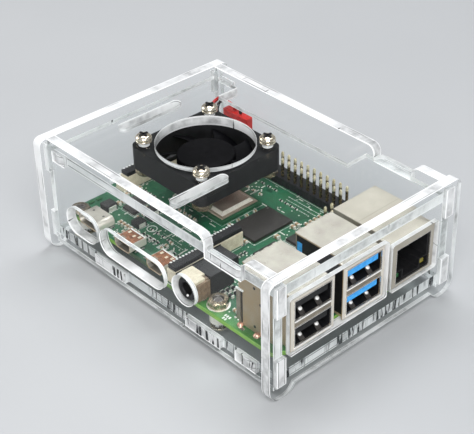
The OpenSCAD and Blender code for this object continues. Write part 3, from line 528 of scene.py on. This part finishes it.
# Chips: bevelled packages with a mould mark for pin 1 and rows of soldered feet
FOOT_PITCH, FOOT_W, FOOT_L = 0.5, 0.26, 0.27
for node in ("ram_chip", "usb_controller", "ethernet_phy", "power_chip"):
    low, high = solids(node)[0]
    chip = Shape()
    on_balls = node == "ram_chip"
    body_z = low.z + (0.25 if on_balls else 0.08)
    chip.box(low, (high.x, high.y, body_z), "laminate" if on_balls else "pad")
    inset = Vector((0.05, 0.05, 0))
    chip.box((low.x + inset.x, low.y + inset.y, body_z), high - inset, "epoxy", 0.07, True)
    chip.lathe((low.x + 0.9, high.y - 0.9, high.z), (0, 0, 1),
               [(0.32, -0.01), (0.32, 0.006), (0.26, 0.008)], "mark", 20)
    chip.done(node + "_fine", "chip_black", {"mark": "dark_metal"}, replaces=(node,))
    if on_balls:
        continue
    n = int((high.x - low.x) / FOOT_PITCH) - 1
    for i in range(n):
        along = (i - (n - 1) / 2) * FOOT_PITCH
        c, d = (low.x + high.x) / 2 + along, (low.y + high.y) / 2 + along
        for y in (low.y - 0.22, high.y - 0.05):
            pads.box((c - FOOT_W / 2, y, 0), (c + FOOT_W / 2, y + FOOT_L, 0.05), "solder")
        for x in (low.x - 0.22, high.x - 0.05):
            pads.box((x, d - FOOT_W / 2, 0), (x + FOOT_L, d + FOOT_W / 2, 0.05), "solder")

# Processor lid: a flat top, painted dark as a reflection of the fan above, inside a bevel painted bright as
# a highlight, on a flange
low, high = solids("soc_heat_spreader")[0]
lid = Shape()
lid.box(low, (high.x, high.y, 1.3), "nickel", 0.1)
lid.box((low.x + 0.9, low.y + 0.9, 1.28), (high.x - 0.9, high.y - 0.9, high.z - 0.01), "bevel", 0.7, True)
lid.box((low.x + 1.65, low.y + 1.65, high.z - 0.1), (high.x - 1.65, high.y - 1.65, high.z), "nickel")
lid.done("soc_heat_spreader_fine", "nickel", {}, replaces=("soc_heat_spreader",), bevel=0.04)

# ---- the board's own copper, holes and print

HOLES = [(x, y) for x in (3.5, 61.5) for y in (3.5, 52.5)]
HOLE_CLEAR = 3.6
FOIL = 0.018
TRACE_W = 0.15
VIA = [(0.24, 0.0), (0.22, 0.024), (0.1, 0.026)]
HOLE_RING = [(3.1, 0.0), (3.05, 0.02), (1.36, 0.02), (1.36, 0.0)]


def ribbon(shape, path, width, z, kind, up=1):
    """Flat strips along a path of (x, y) points, a foil's thickness above z, or below it if up is -1."""
    for (x0, y0), (x1, y1) in zip(path, path[1:]):
        run = Vector((x1 - x0, y1 - y0))
        if run.length < 1e-6:
            continue
        run.normalize()
        side = Vector((-run.y, run.x)) * width / 2
        ahead = run * width * 0.2
        ring = [(x0 - ahead.x + side.x, y0 - ahead.y + side.y),
                (x0 - ahead.x - side.x, y0 - ahead.y - side.y),
                (x1 + ahead.x - side.x, y1 + ahead.y - side.y),
                (x1 + ahead.x + side.x, y1 + ahead.y + side.y)]
        low_ring = [(*p, z) for p in ring]
        top_ring = [(*p, z + FOIL * up) for p in ring]
        faces = [[4, 5, 6, 7], [0, 1, 5, 4], [1, 2, 6, 5], [2, 3, 7, 6], [3, 0, 4, 7]]
        shape.put(low_ring + top_ring, faces, kind)


def bundle(rng):
    """Centre line of a run of parallel traces: a few legs joined by 45 degree bends."""
    x, y = rng.uniform(3, 82), rng.uniform(3, 53)
    turn = rng.choice([0, 90, 180, 270])
    path = [(x, y)]
    for _ in range(rng.randint(2, 4)):
        length = rng.uniform(2.5, 11)
        x += length * math.cos(math.radians(turn))
        y += length * math.sin(math.radians(turn))
        path.append((x, y))
        turn += rng.choice([-45, 45])
    return path


def fits(path, edge=1.3):
    """True if a path stays on the board and clear of its holes."""
    for x, y in path:
        if not (edge < x < BOARD[0] - edge and edge < y < BOARD[1] - edge):
            return False
        if any(math.hypot(x - hx, y - hy) < HOLE_CLEAR for hx, hy in HOLES):
            return False
    for (x0, y0), (x1, y1) in zip(path, path[1:]):
        for hx, hy in HOLES:
            run = Vector((x1 - x0, y1 - y0))
            s = max(0.0, min(1.0, Vector((hx - x0, hy - y0)).dot(run) / run.length_squared))
            if math.hypot(x0 + run.x * s - hx, y0 + run.y * s - hy) < HOLE_CLEAR:
                return False
    return True


def beside_path(path, gap):
    """The path moved sideways by gap."""
    out = []
    for i, (x, y) in enumerate(path):
        a = Vector(path[max(i - 1, 0)])
        b = Vector(path[min(i + 1, len(path) - 1)])
        run = (b - a).normalized()
        out.append((x - run.y * gap, y + run.x * gap))
    return out


def route(seed, count, z, up):
    """count bundles of traces on one face, with vias at their ends, loose vias and the holes' rings."""
    rng = random.Random(seed)
    lines, rings = Shape(), Shape()
    made = 0
    while made < count:
        path = bundle(rng)
        n, step = rng.randint(2, 7), rng.choice([0.36, 0.42, 0.5])
        paths = [beside_path(path, (i - (n - 1) / 2) * step) for i in range(n)]
        if not (fits(paths[0]) and fits(paths[-1])):
            continue
        made += 1
        for p in paths:
            ribbon(lines, p, TRACE_W, z, "trace", up)
            for q in (p[0], p[-1]) if rng.random() < 0.6 else (p[0],):
                rings.lathe((*q, z), (0, 0, up), VIA, "pad", 10)
    for _ in range(count * 2):
        q = (rng.uniform(2, 83), rng.uniform(2, 54))
        if fits([q, (q[0] + 0.1, q[1])]):
            rings.lathe((*q, z), (0, 0, up), VIA, "pad", 10)
    for hx, hy in HOLES:
        rings.lathe((hx, hy, z), (0, 0, up), HOLE_RING, "pad", 40, False)
    return lines, rings


lines, rings = route(5, 95, 0.0, 1)
lines.done("board_traces_top", "board_green", {})
rings.done("board_vias_top", "solder", {})
lines, rings = route(9, 70, -BOARD[2], -1)
lines.done("board_traces_bottom", "board_green", {})
rings.done("board_vias_bottom", "solder", {})

# Printed legend: outlines, ticks, plain bars, a ring and rows of dashes
legend = Shape()


def print_line(x0, y0, x1, y1, width=0.16):
    ribbon(legend, [(x0, y0), (x1, y1)], width, 0.0, "legend")


def node_outline(node, gap, index=0):
    low, high = solids(node)[index]
    x0, y0, x1, y1 = low.x - gap, low.y - gap, high.x + gap, high.y + gap
    print_line(x0, y0, x1, y0)
    print_line(x1, y0, x1, y1)
    print_line(x1, y1, x0, y1)
    print_line(x0, y1, x0, y0)


for node in ("gpio_header_base", "poe_header_base", "ram_chip", "usb_controller", "ethernet_phy",
             "power_chip", "wireless_can", "soc_substrate"):
    node_outline(node, 0.4)
for node in ("camera_socket", "display_socket"):
    node_outline(node, 0.5)
for node in ("crystals", "inductors"):
    for i in range(len(solids(node))):
        node_outline(node, 0.35, i)
ticks = random.Random(3)
for node in ("capacitors", "resistors"):
    for low, high in solids(node):
        if ticks.random() < 0.55:
            x, y = high.x + 0.35, (low.y + high.y) / 2
            print_line(x, y - 0.28, x, y + 0.28, 0.12)
# A tick at every fifth pair of header pins
for i in range(0, 20, 5):
    x = 32.5 + (i - 9.5) * PITCH
    print_line(x - 0.5, 48.9, x + 0.5, 48.9)
for i in range(6):
    x = 25.8 + i * 1.95
    print_line(x, 8.2, x, 10.1, 1.2 if i % 2 else 0.7)
ring_path = [(23.6 + 1.4 * math.cos(a * math.tau / 24), 12.8 + 1.4 * math.sin(a * math.tau / 24), 0.0)
             for a in range(25)]
legend.tube(ring_path, 0.3, "legend", 4)
for x, y, l in ((51.2, 49.0, 5), (63.4, 47.4, 2.2), (63.4, 48.3, 2.2), (30.6, 17.0, 5), (30.6, 18.0, 3.5),
                (58.0, 8.6, 3), (58.0, 9.6, 2)):
    print_line(x, y, x + l, y, 0.34)
# Rows of short dashes, as small print reads from a distance
for y, x0, x1 in ((47.6, 40.0, 52.0), (46.2, 40.6, 55.0), (44.8, 41.6, 50.0), (12.4, 27.6, 36.8),
                  (13.6, 27.6, 34.4)):
    x = x0
    while x < x1:
        l = ticks.uniform(0.3, 0.9)
        print_line(x, y, x + l, y, 0.22)
        x += l + 0.35
legend.done("board_legend", "board_green", {})

# Pads that stand clear, beside the sockets' soldered feet
for x, y, w, l in ((66.6, 11.0, 1.6, 1.2), (72.6, 1.2, 1.8, 1.0), (19.6, 1.6, 1.2, 1.4),
                   (33.0, 1.4, 1.2, 1.4), (46.4, 27.6, 0.8, 0.8), (66.8, 35.6, 1.2, 1.2)):
    pads.box((x - w / 2, y - l / 2, 0), (x + w / 2, y + l / 2, 0.04), "solder")
for x, y in ((66.0, 1.8), (66.8, 1.8), (67.6, 1.8), (66.4, 0.7), (67.2, 0.7)):
    pads.box((x - 0.2, y - 0.38, 0), (x + 0.2, y + 0.38, 0.14), "white")
pads.done("board_pads", "solder", {})

# ---- fan wheel: domed hub and seven curved blades

FAN = (25.3, 30.0)
FAN_HOLES = [(FAN[0] + i * 12, FAN[1] + j * 12) for i in (-1, 1) for j in (-1, 1)]
BLADES, BLADE_ROOT, BLADE_SPAN = 7, 7.9, 5.5
wheel = Shape()
wheel.lathe((*FAN, 0), (0, 0, 1), [(7.4, 12.8), (8.2, 12.8), (8.2, 16.9), (8.06, 17.22), (7.75, 17.4),
                                   (0.71, 17.4), (0.71, 16.6), (7.4, 16.6), (7.4, 12.8)],
            "wheel", 64, False)
for blade in range(BLADES):
    loops = []
    # c runs from -1 at the trailing edge to 1 at the leading edge, and r from the hub out
    for c in [k / 5 - 1 for k in range(11)]:
        top, under = [], []
        for r in [BLADE_ROOT + BLADE_SPAN * k / 6 for k in range(7)]:
            reach = 2.75 + 0.28 * (r - 8)
            turn = math.radians(blade * 360 / BLADES) + c * reach / r + 0.035 * (r - 8)
            z = 15.1 + 1.95 * c + 0.3 * (1 - c * c)
            x, y = FAN[0] + r * math.cos(turn), FAN[1] + r * math.sin(turn)
            half_t = 0.3 * math.sqrt(max(0.05, 1 - 0.85 * c * c))
            top.append((x, y, min(z + half_t, 17.38)))
            under.append((x, y, max(z - half_t, 12.82)))
        loops.append(top + under[::-1])
    wheel.loft(loops, "wheel", True)
wheel.done("fan_wheel_fine", "black_plastic", {}, body="fan_wheel", replaces=("fan_rotor",), bevel=0.04)

# ---- screws: domed heads with a cross recess, threaded shanks

WASHER = [(2.26, 0.0), (2.3, 0.06), (2.3, 0.5), (2.2, 0.56)]
WASHER_GAP = [(2.0, 0.5), (2.0, 0.66)]
HEAD = [(2.1, 0.62), (2.28, 0.72), (2.3, 1.15), (2.16, 1.45), (1.8, 1.74), (1.2, 1.92), (0.5, 2.0)]


def screws(name, seats, up, reach, replaced):
    """seats: where the head's underside meets its plate; up: which way the head points."""
    body = Shape()
    for seat in seats:
        body.lathe(seat, (0, 0, up), WASHER, "screw", 40)
        # Painted shade: the neck between washer and head is black
        body.lathe(seat, (0, 0, up), WASHER_GAP, "gap", 40, False)
        body.lathe(seat, (0, 0, up), HEAD, "screw", 40)
        body.lathe(seat, (0, 0, -up), [(1.25, 0.01), (1.25, reach - 0.25), (1.05, reach)], "thread", 32)
        # Painted shade: the shank's end is dark
        body.lathe(seat, (0, 0, -up), [(1.0, reach - 0.05), (0.96, reach + 0.03)], "tip", 32)
    obj = body.done(name + "_work", "screw_steel", {"gap": "film", "tip": "dark_metal"})
    # Cross recess: its cut walls take the black of painted shade
    cross = Shape()
    for x, y, z in seats:
        for l, w in ((1.3, 0.3), (0.3, 1.3)):
            a, b = z + up * 1.0, z + up * 2.2
            cross.loft([[(x - l * s, y - w * s, h), (x + l * s, y - w * s, h), (x + l * s, y + w * s, h),
                         (x - l * s, y + w * s, h)] for s, h in ((0.6, a), (1.1, b))], "dark")
    tool = cross.done(name + "_tool", "screw_steel", {"dark": "film"})
    cut = obj.modifiers.new("recess", "BOOLEAN")
    cut.operation, cut.object, cut.solver = "DIFFERENCE", tool, "EXACT"
    bpy.context.view_layer.update()
    mesh = bpy.data.meshes.new_from_object(obj.evaluated_get(bpy.context.evaluated_depsgraph_get()))
    for o in (obj, tool):
        bpy.data.objects.remove(o)
    made = bpy.data.objects.new(name, mesh)
    bpy.context.scene.collection.objects.link(made)
    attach(made, ROOT)
    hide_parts(replaced)


def nut_ring(seat, radius, h, across=None, n=72):
    """n points at height h over seat, on a circle that a hexagon clips where across is its size."""
    x, y, z = seat
    ring = []
    for i in range(n):
        a = i * 360 / n
        flat = across / 2 / math.cos(math.radians((a + 30) % 60 - 30)) if across else radius
        r, turn = min(radius, flat), math.radians(a + 30)
        ring.append((x + r * math.cos(turn), y + r * math.sin(turn), z + h))
    return ring


def nuts(name, seats, replaced, across=5.0, height=2.0, bore=1.28):
    """Hexagon nuts with chamfered corners and a threaded bore painted dark as shade. seats: the middle of
    each foot.
    """
    shape = Shape()
    rim = across / 2 / math.cos(math.radians(30))
    walls = [(across / 2, 0.0), (rim, 0.3), (rim, height - 0.35), (across / 2 - 0.1, height)]
    for seat in seats:
        foot, top = nut_ring(seat, bore + 0.2, 0.0), nut_ring(seat, bore + 0.25, height)
        shape.loft([foot, *(nut_ring(seat, r, h, across) for r, h in walls), top], "nut", False, False)
        shape.loft([top, nut_ring(seat, bore, height - 0.25), nut_ring(seat, bore, 0.2), foot],
                   "thread_dark", True, False)
    shape.done(name, "nickel", {"thread_dark": "dark_metal"}, replaces=(replaced,))


nuts("board_nuts_fine", [(x, y, 0.0) for x, y in HOLES], "board_nuts")
nuts("fan_nuts_fine", [(x, y, 9.0) for x, y in FAN_HOLES], "fan_nuts")
screws("fan_screws_fine", [(x, y, 21.0) for x, y in FAN_HOLES], 1, 12.0, "fan_screws")
screws("board_screws_fine", [(x, y, -7.9) for x, y in HOLES], -1, 9.5, "board_screws")

# ---- audio jack: cream block with a notch, its side painted brown as shade, black barrel with a painted highlight in its bore

jack = Shape()
X, Z = 54.0, 3.0
jack.box((X - 3.5, -0.1, 0), (X + 2.9, 1.0, 6.0), "cream")
jack.box((X - 3.5, 1.0, 4.9), (X + 1.4, 4.4, 6.0), "cream")
jack.box((X + 1.4, 1.0, 4.9), (X + 2.9, 3.2, 6.0), "cream")
jack.box((X - 3.5, 1.0, 0), (X - 2.4, 4.4, 4.9), "cream")
jack.box((X + 2.0, 1.0, 0), (X + 2.9, 4.4, 4.9), "cream")
jack.box((X + 2.9, 0.2, 0), (X + 3.5, 4.4, 5.2), "tan")
jack.box((X + 1.4, 3.2, 4.9), (X + 2.9, 4.4, 5.5), "tan")
jack.done("audio_jack_block", "cream_plastic", {}, bevel=0.08)
barrel = Shape()
barrel.lathe((X, 0, Z), (0, -1, 0), [(2.0, -4.3), (2.2, -4.3), (2.2, 0.0), (3.3, 0.0), (3.3, 2.2),
                                     (3.05, 2.5), (2.3, 2.5), (1.85, 2.15), (1.82, 1.9)],
             "black", 48, False)
barrel.lathe((X, 0, Z), (0, -1, 0), [(1.82, 1.9), (1.82, -4.3), (2.0, -4.3)], "sleeve", 48, False)
barrel.lathe((X + 0.3, -2.3, Z - 1.9), (0.15, -1, 0.25),
             [(0.36, 0.0), (0.34, 0.14), (0.22, 0.26), (0.08, 0.3)], "glint", 16)
barrel.done("audio_jack_barrel", "cream_plastic", {"sleeve": "film"}, replaces=("audio_jack_housing",))
feet = Shape()
for x in (X - 3.9, X + 3.1):
    for y in (1.6, 6.0, 10.4):
        feet.box((x, y, 0), (x + 0.8, y + 1.2, 0.2), "solder", 0.08)
feet.done("audio_jack_feet", "solder", {})

# ---- sockets at the USB end

USB = ((9.0, "usb2_tongues", "black", "black_plastic"), (27.0, "usb3_tongues", "blue", "blue_plastic"))
MOUTHS = ((1.4, 6.9), (9.3, 14.9))
FACE = 87.8
TONGUE_DROP, TONGUE_T = 0.45, 2.2
HALF_USB = 6.6
trim = Shape()


def leaf(shape, y, z0):
    """A sprung leaf, painted dark as shade, that rises from the floor of a mouth to a crest with a dome
    painted white as a highlight.
    """
    arc = [(87.4, 0.08), (86.7, 0.6), (86.1, 1.25), (85.6, 1.55), (85.1, 1.6), (84.3, 1.3), (82.6, 0.6),
           (81.4, 0.25)]
    wide, t = 0.8, 0.16
    shape.loft([[(x, y - wide, z0 + h), (x, y + wide, z0 + h), (x, y + wide, z0 + h - t),
                 (x, y - wide, z0 + h - t)] for x, h in arc], "dark")
    shape.lathe((86.2, y, z0 + 1.2), (0.6, 0, 0.8), [(0.62, 0.0), (0.58, 0.2), (0.42, 0.36), (0.18, 0.45)],
                "glint", 18)


for y, node, kind, slot in USB:
    tongues = Shape()
    for z0, z1 in MOUTHS:
        tongues.box((70.9, y - 6.1, z0 + 0.05), (78.0, y + 6.1, z1 - 0.05), "black")
        top = z1 - TONGUE_DROP
        tongues.box((78.0, y - 5.5, top - TONGUE_T), (87.3, y + 5.5, top), kind, 0.16)
        # Painted shade: dark sheets lining the mouth
        for a, b in (((y - 6.2, z0), (y - 6.12, z1)), ((y + 6.12, z0), (y + 6.2, z1)),
                     ((y - 6.2, z0), (y + 6.2, z0 + 0.06)), ((y - 6.2, z1 - 0.06), (y + 6.2, z1))):
            trim.box((78.0, a[0], a[1]), (87.5, b[0], b[1]), "lining")
        # Rolled lips round each mouth
        for a, b in (((y - 6.45, z0 - 0.28), (y + 6.45, z0)), ((y - 6.45, z1), (y + 6.45, z1 + 0.28)),
                     ((y - 6.45, z0), (y - 6.2, z1)), ((y + 6.2, z0), (y + 6.45, z1))):
            trim.box((FACE - 0.3, a[0], a[1]), (FACE + 0.22, b[0], b[1]), "bright", 0.07)
        for side in (-2.9, 2.9):
            leaf(trim, y + side, z0)
    tongues.done(node + "_fine", slot, {}, replaces=(node,))
    # Bar between the two mouths, with a strip of painted highlight along its top, and another below the
    # lower mouth
    trim.box((FACE - 0.02, y - 6.2, 7.3), (FACE + 0.1, y + 6.2, 8.7), "bar", 0.04)
    trim.box((FACE - 0.02, y - 6.2, 8.66), (FACE + 0.3, y + 6.2, 8.98), "glint", 0.08)
    trim.box((FACE - 0.02, y - 6.4, 0.72), (FACE + 0.3, y + 6.4, 1.02), "glint", 0.08)
    # Dimples, slots and folds of the sheet shell; the slots are dark strips of painted shade
    for x in (74.2, 80.6):
        for off in (-2.6, 2.6):
            trim.lathe((x, y + off, 15.99), (0, 0, 1), [(0.42, 0.0), (0.34, 0.05), (0.16, 0.08)],
                       "shell", 18)
    for off, wide in ((-5.4, 0.3), (-4.0, 0.3), (-1.6, 0.35), (4.2, 2.2)):
        trim.box((86.3, y + off - wide / 2, 15.99), (87.45, y + off + wide / 2, 16.03), "lining")
    for i in range(9):
        trim.box((69.9 - 0.22 * (i % 2), y - 6.5 + i * 1.46, 15.55), (70.4, y - 5.1 + i * 1.46, 16.02),
                 "shell")
    side = y - HALF_USB
    for x, wide in ((71.4, 1.5), (77.4, 1.7)):
        drop = [(wide * 0.62, 0.0), (wide * 0.58, 0.25), (wide * 0.4, 0.62), (wide * 0.18, 0.85)]
        trim.lathe((x, side - 0.5, 0.0), (0, 0, 1), drop, "blob", 20)
# Outer side of the front socket: a sprung tab with a painted highlight along its top, beside a slot at the
# rear edge, and dents; the slot and dents are painted dark as shade
side = USB[0][0] - HALF_USB
trim.box((69.8, side - 0.3, 1.2), (71.2, side - 0.02, 10.8), "bar", 0.08)
trim.box((69.7, side - 0.38, 10.5), (72.2, side, 11.1), "glint", 0.06)
trim.box((71.3, side - 0.04, 0.8), (71.8, side + 0.02, 10.6), "lining")
for x, z in ((76.0, 13.6), (78.2, 9.6), (76.1, 1.9)):
    trim.lathe((x, side, z), (0, -1, 0), [(0.42, -0.02), (0.42, 0.015), (0.3, 0.03)], "lining", 14)
# The side between the two sockets is painted dark as shade, with a blue corner of the insert showing
side = USB[1][0] - HALF_USB
trim.box((70.7, side - 0.04, 0.9), (87.3, side + 0.02, 15.6), "lining")
trim.box((70.9, side - 0.1, 11.0), (72.6, side + 0.02, 13.8), "blue", 0.04)
trim.done("usb_trim", "socket_steel", {"lining": "film", "dark": "dark_metal", "blob": "salmon"})

# Network socket: lights, sprung wires in its mouth, dents, side springs and a bright rim
port = Shape()
Y = 45.75
for side, kind in ((-1, "lime"), (1, "amber")):
    port.box((FACE - 2.9, Y + side * 4.9 - 0.9, 1.5), (FACE - 1.2, Y + side * 4.9 + 0.9, 2.9), kind, 0.2)
port.done("ethernet_lights_fine", "light_pipe", {}, replaces=("ethernet_lights",))
wires = Shape()
for i in range(8):
    y = Y + (i - 3.5) * 1.02
    wires.tube([(FACE - 13.2, y, 11.0), (FACE - 6.0, y, 11.0), (FACE - 3.2, y, 10.6), (FACE - 2.6, y, 10.2),
                (FACE - 3.4, y, 9.6), (FACE - 8.4, y, 6.4)], 0.32, "gold")
wires.done("ethernet_contacts", "gold_pin", {})
can = Shape()
for y0, y1 in ((Y - 5.0, Y - 3.9), (Y + 3.9, Y + 5.0)):
    can.box((FACE - 4.0, y0, 13.49), (FACE - 1.4, y1, 13.56), "can", 0.03)
can.box((FACE - 12.5, Y - 7.9, 13.49), (FACE - 12.4, Y + 7.9, 13.51), "bar")
for side in (-1, 1):
    y = Y + side * 8.0
    for x0, x1, out, z0, z1, kind, chamfer in ((6.0, 2.2, 0.22, 4.0, 8.4, "bright", 0.06),
                                               (17.4, 15.8, 0.3, 0.0, 0.6, "solder", 0.1)):
        y0, y1 = sorted((y, y + side * out))
        can.box((FACE - x0, y0, z0), (FACE - x1, y1, z1), kind, chamfer)
for a, b in (((Y - 6.5, 0.85), (Y + 6.5, 1.0)), ((Y - 6.5, 11.7), (Y + 6.5, 11.85)),
             ((Y - 6.65, 0.85), (Y - 6.5, 11.85)), ((Y + 6.5, 0.85), (Y + 6.65, 11.85))):
    can.box((FACE - 0.2, a[0], a[1]), (FACE + 0.1, b[0], b[1]), "bright")
can.done("ethernet_trim", "socket_steel", {})

# ---- sockets along the front edge

front = Shape()
# Video sockets: strips of painted highlight along the front and rear lips of each top and inside each mouth
for x in (26.0, 39.5):
    front.box((x - 2.9, -0.6, 2.99), (x + 2.9, 5.9, 3.04), "copper_tint")
    front.box((x - 3.2, -1.2, 2.96), (x + 3.2, -0.75, 3.1), "glint", 0.05)
    front.box((x - 3.1, 5.95, 2.9), (x + 3.1, 6.4, 3.08), "glint", 0.05)
    for off, y0, y1 in ((-1.9, 4.4, 5.4), (0.5, 4.0, 4.9), (2.0, 4.6, 5.6)):
        front.box((x + off - 0.35, y0, 3.03), (x + off + 0.35, y1, 3.16), "cream", 0.04)
    front.box((x - 2.2, 1.2, 3.03), (x - 0.4, 2.6, 3.06), "bar", 0.02)
    for off in (-3.75, 3.25):
        for y in (0.4, 4.2):
            front.box((x + off, y, 0.0), (x + off + 0.5, y + 1.3, 0.5), "solder", 0.12)
    front.box((x - 1.9, -0.46, 1.55), (x + 1.9, -0.36, 2.05), "glint")
    for i in range(5):
        front.box((x - 1.75 + i * 0.8, 6.4, 0.0), (x - 1.5 + i * 0.8, 7.2, 0.1), "solder")
# The power socket's welds as dark dots, soldered tabs, feet, and painted highlights on the tongue edge and
# the lip
X = 11.2
WELD = [(0.36, 0.0), (0.36, 0.02), (0.3, 0.03)]
for off in (-2.4, 1.9):
    for y in (1.0, 4.2):
        front.lathe((X + off + 0.25, y, 3.19), (0, 0, 1), WELD, "lining", 14)
for off in (-5.0, 4.4):
    for y in (0.6, 4.4):
        front.box((X + off, y, 0.0), (X + off + 0.6, y + 1.4, 0.6), "solder", 0.15)
for i in range(12):
    front.box((X - 2.9 + i * 0.5, 6.2, 0.0), (X - 2.65 + i * 0.5, 7.0, 0.1), "solder")
front.box((X - 3.0, -0.38, 1.4), (X + 3.0, -0.31, 1.8), "glint")
front.box((X - 3.9, -1.24, 2.98), (X + 3.9, -0.9, 3.22), "glint", 0.06)
front.done("front_socket_trim", "socket_steel", {"lining": "film"})

# Flat-cable sockets: soldered feet, a tab at each end, a side painted black as shade on one, and teeth on
# each latch
for name, x, y, painted_shade_end in (("camera", 46.5, 11.6, 14.5), ("display", 4.2, 28.0, 0.0)):
    row, teeth = Shape(), Shape()
    for i in range(15):
        v = y + (i - 7) * 1.27
        row.box((x - 2.5, v - 0.16, 0.0), (x - 1.68, v + 0.16, 0.16), "solder")
    for i in range(20):
        v = y + (i - 9.5) * 1.04
        teeth.box((x - 1.56, v - 0.26, 5.0), (x - 1.0, v + 0.26, 5.66), "white", 0.05)
    for v in (y - 10.9, y + 10.0):
        row.box((x + 1.69, v, 0.0), (x + 2.3, v + 0.9, 0.3), "solder", 0.08)
    if painted_shade_end:
        row.box((x + 1.69, 0.7, 1.5), (x + 1.76, painted_shade_end, 4.18), "black")
    row.done(name + "_socket_feet", "cream_plastic", {})
    teeth.done(name + "_latch_teeth", "black_plastic", {}, body=name + "_latch")

# Metal can over the wireless part: a few vents, dark discs of painted shade
low, high = solids("wireless_can")[0]
vents = Shape()
for i in range(4):
    for j in range(3):
        vents.lathe((low.x + 3 + i * 2, low.y + 2.6 + j * 2.2, high.z), (0, 0, 1),
                    [(0.4, -0.01), (0.4, 0.005), (0.3, 0.006)], "shade", 14)
vents.done("wireless_can_vents", "nickel", {"shade": "dark_metal"})

# ---------------------------------------------------------------- floor, light and camera

floor_mesh = bpy.data.meshes.new("floor")
half, foot = 6.0, -0.0001
floor_mesh.from_pydata([(-half, -half, foot), (half, -half, foot), (half, half, foot), (-half, half, foot)],
                       [], [[0, 1, 2, 3]])
floor = bpy.data.objects.new("floor", floor_mesh)
bpy.context.scene.collection.objects.link(floor)
t = Tree("floor")
floor_mesh.materials.append(t.finish(t.surface(
    Base_Color=t.mix(t.ramp(t.noise(6.0), 0.3, 0.7), rgb(0.42, 0.43, 0.44), rgb(0.45, 0.46, 0.47)),
    Roughness=0.85, Specular_IOR_Level=0.1)))

world = bpy.data.worlds.new("studio")
bpy.context.scene.world = world
world.use_nodes = True
world.node_tree.nodes["Background"].inputs[0].default_value = rgb(0.80, 0.83, 0.88)
world.node_tree.nodes["Background"].inputs[1].default_value = 0.22


def lamp(name, place, aim, width, height, power, colour=(1, 1, 1)):
    data = bpy.data.lights.new(name, "AREA")
    data.shape = "RECTANGLE"
    data.size, data.size_y, data.energy, data.color = width, height, power, colour
    obj = bpy.data.objects.new(name, data)
    obj.location = place
    obj.rotation_mode = "QUATERNION"
    obj.rotation_quaternion = (Vector(aim) - Vector(place)).to_track_quat("-Z", "Y")
    bpy.context.scene.collection.objects.link(obj)


lamp("key", (0.35, -0.25, 0.5), (0, 0, 0.01), 0.4, 0.3, 3.6)
lamp("rear", (-0.15, 0.22, 0.6), (0, 0, 0.01), 0.4, 0.3, 3.0, (0.97, 0.98, 1.0))
lamp("front", (0.5, -0.42, 0.14), (0, 0, 0.02), 0.3, 0.16, 1.5)
lamp("left", (-0.5, -0.3, 0.25), (0, 0, 0.01), 0.4, 0.4, 1.4, (1.0, 0.98, 0.95))

# The photograph is a crop, so the lens's axis isn't its middle: that is the camera's small shift.
# Angles are in degrees, and places and the distance in board millimetres.
AZIMUTH, ELEVATION, ROLL, DISTANCE = 46.44, 34.45, -0.18, 398.0
TARGET = (18.66, 60.8, -24.12)
SENSOR, LENS, SHIFT = 36.0, 97.28354, (-0.0709283, 0.0123207)
a, e = math.radians(AZIMUTH), math.radians(ELEVATION)
back = Vector((math.sin(a) * math.cos(e), -math.cos(a) * math.cos(e), math.sin(e)))
right = (-back).cross(Vector((0, 0, 1))).normalized()
up = right.cross(-back)
r = math.radians(ROLL)
axes = (right * math.cos(r) + up * math.sin(r), -right * math.sin(r) + up * math.cos(r), back)
camera_data = bpy.data.cameras.new("camera")
camera_data.sensor_width, camera_data.lens = SENSOR, LENS
camera_data.shift_x, camera_data.shift_y = SHIFT
camera_data.clip_start, camera_data.clip_end = 0.01, 20.0
camera = bpy.data.objects.new("camera", camera_data)
place = Matrix.Translation(at(TARGET) + back * DISTANCE * MM)
camera.matrix_world = place @ Matrix(axes).transposed().to_4x4()
bpy.context.scene.collection.objects.link(camera)
bpy.context.scene.camera = camera
bpy.context.scene.view_settings.view_transform = "Standard"
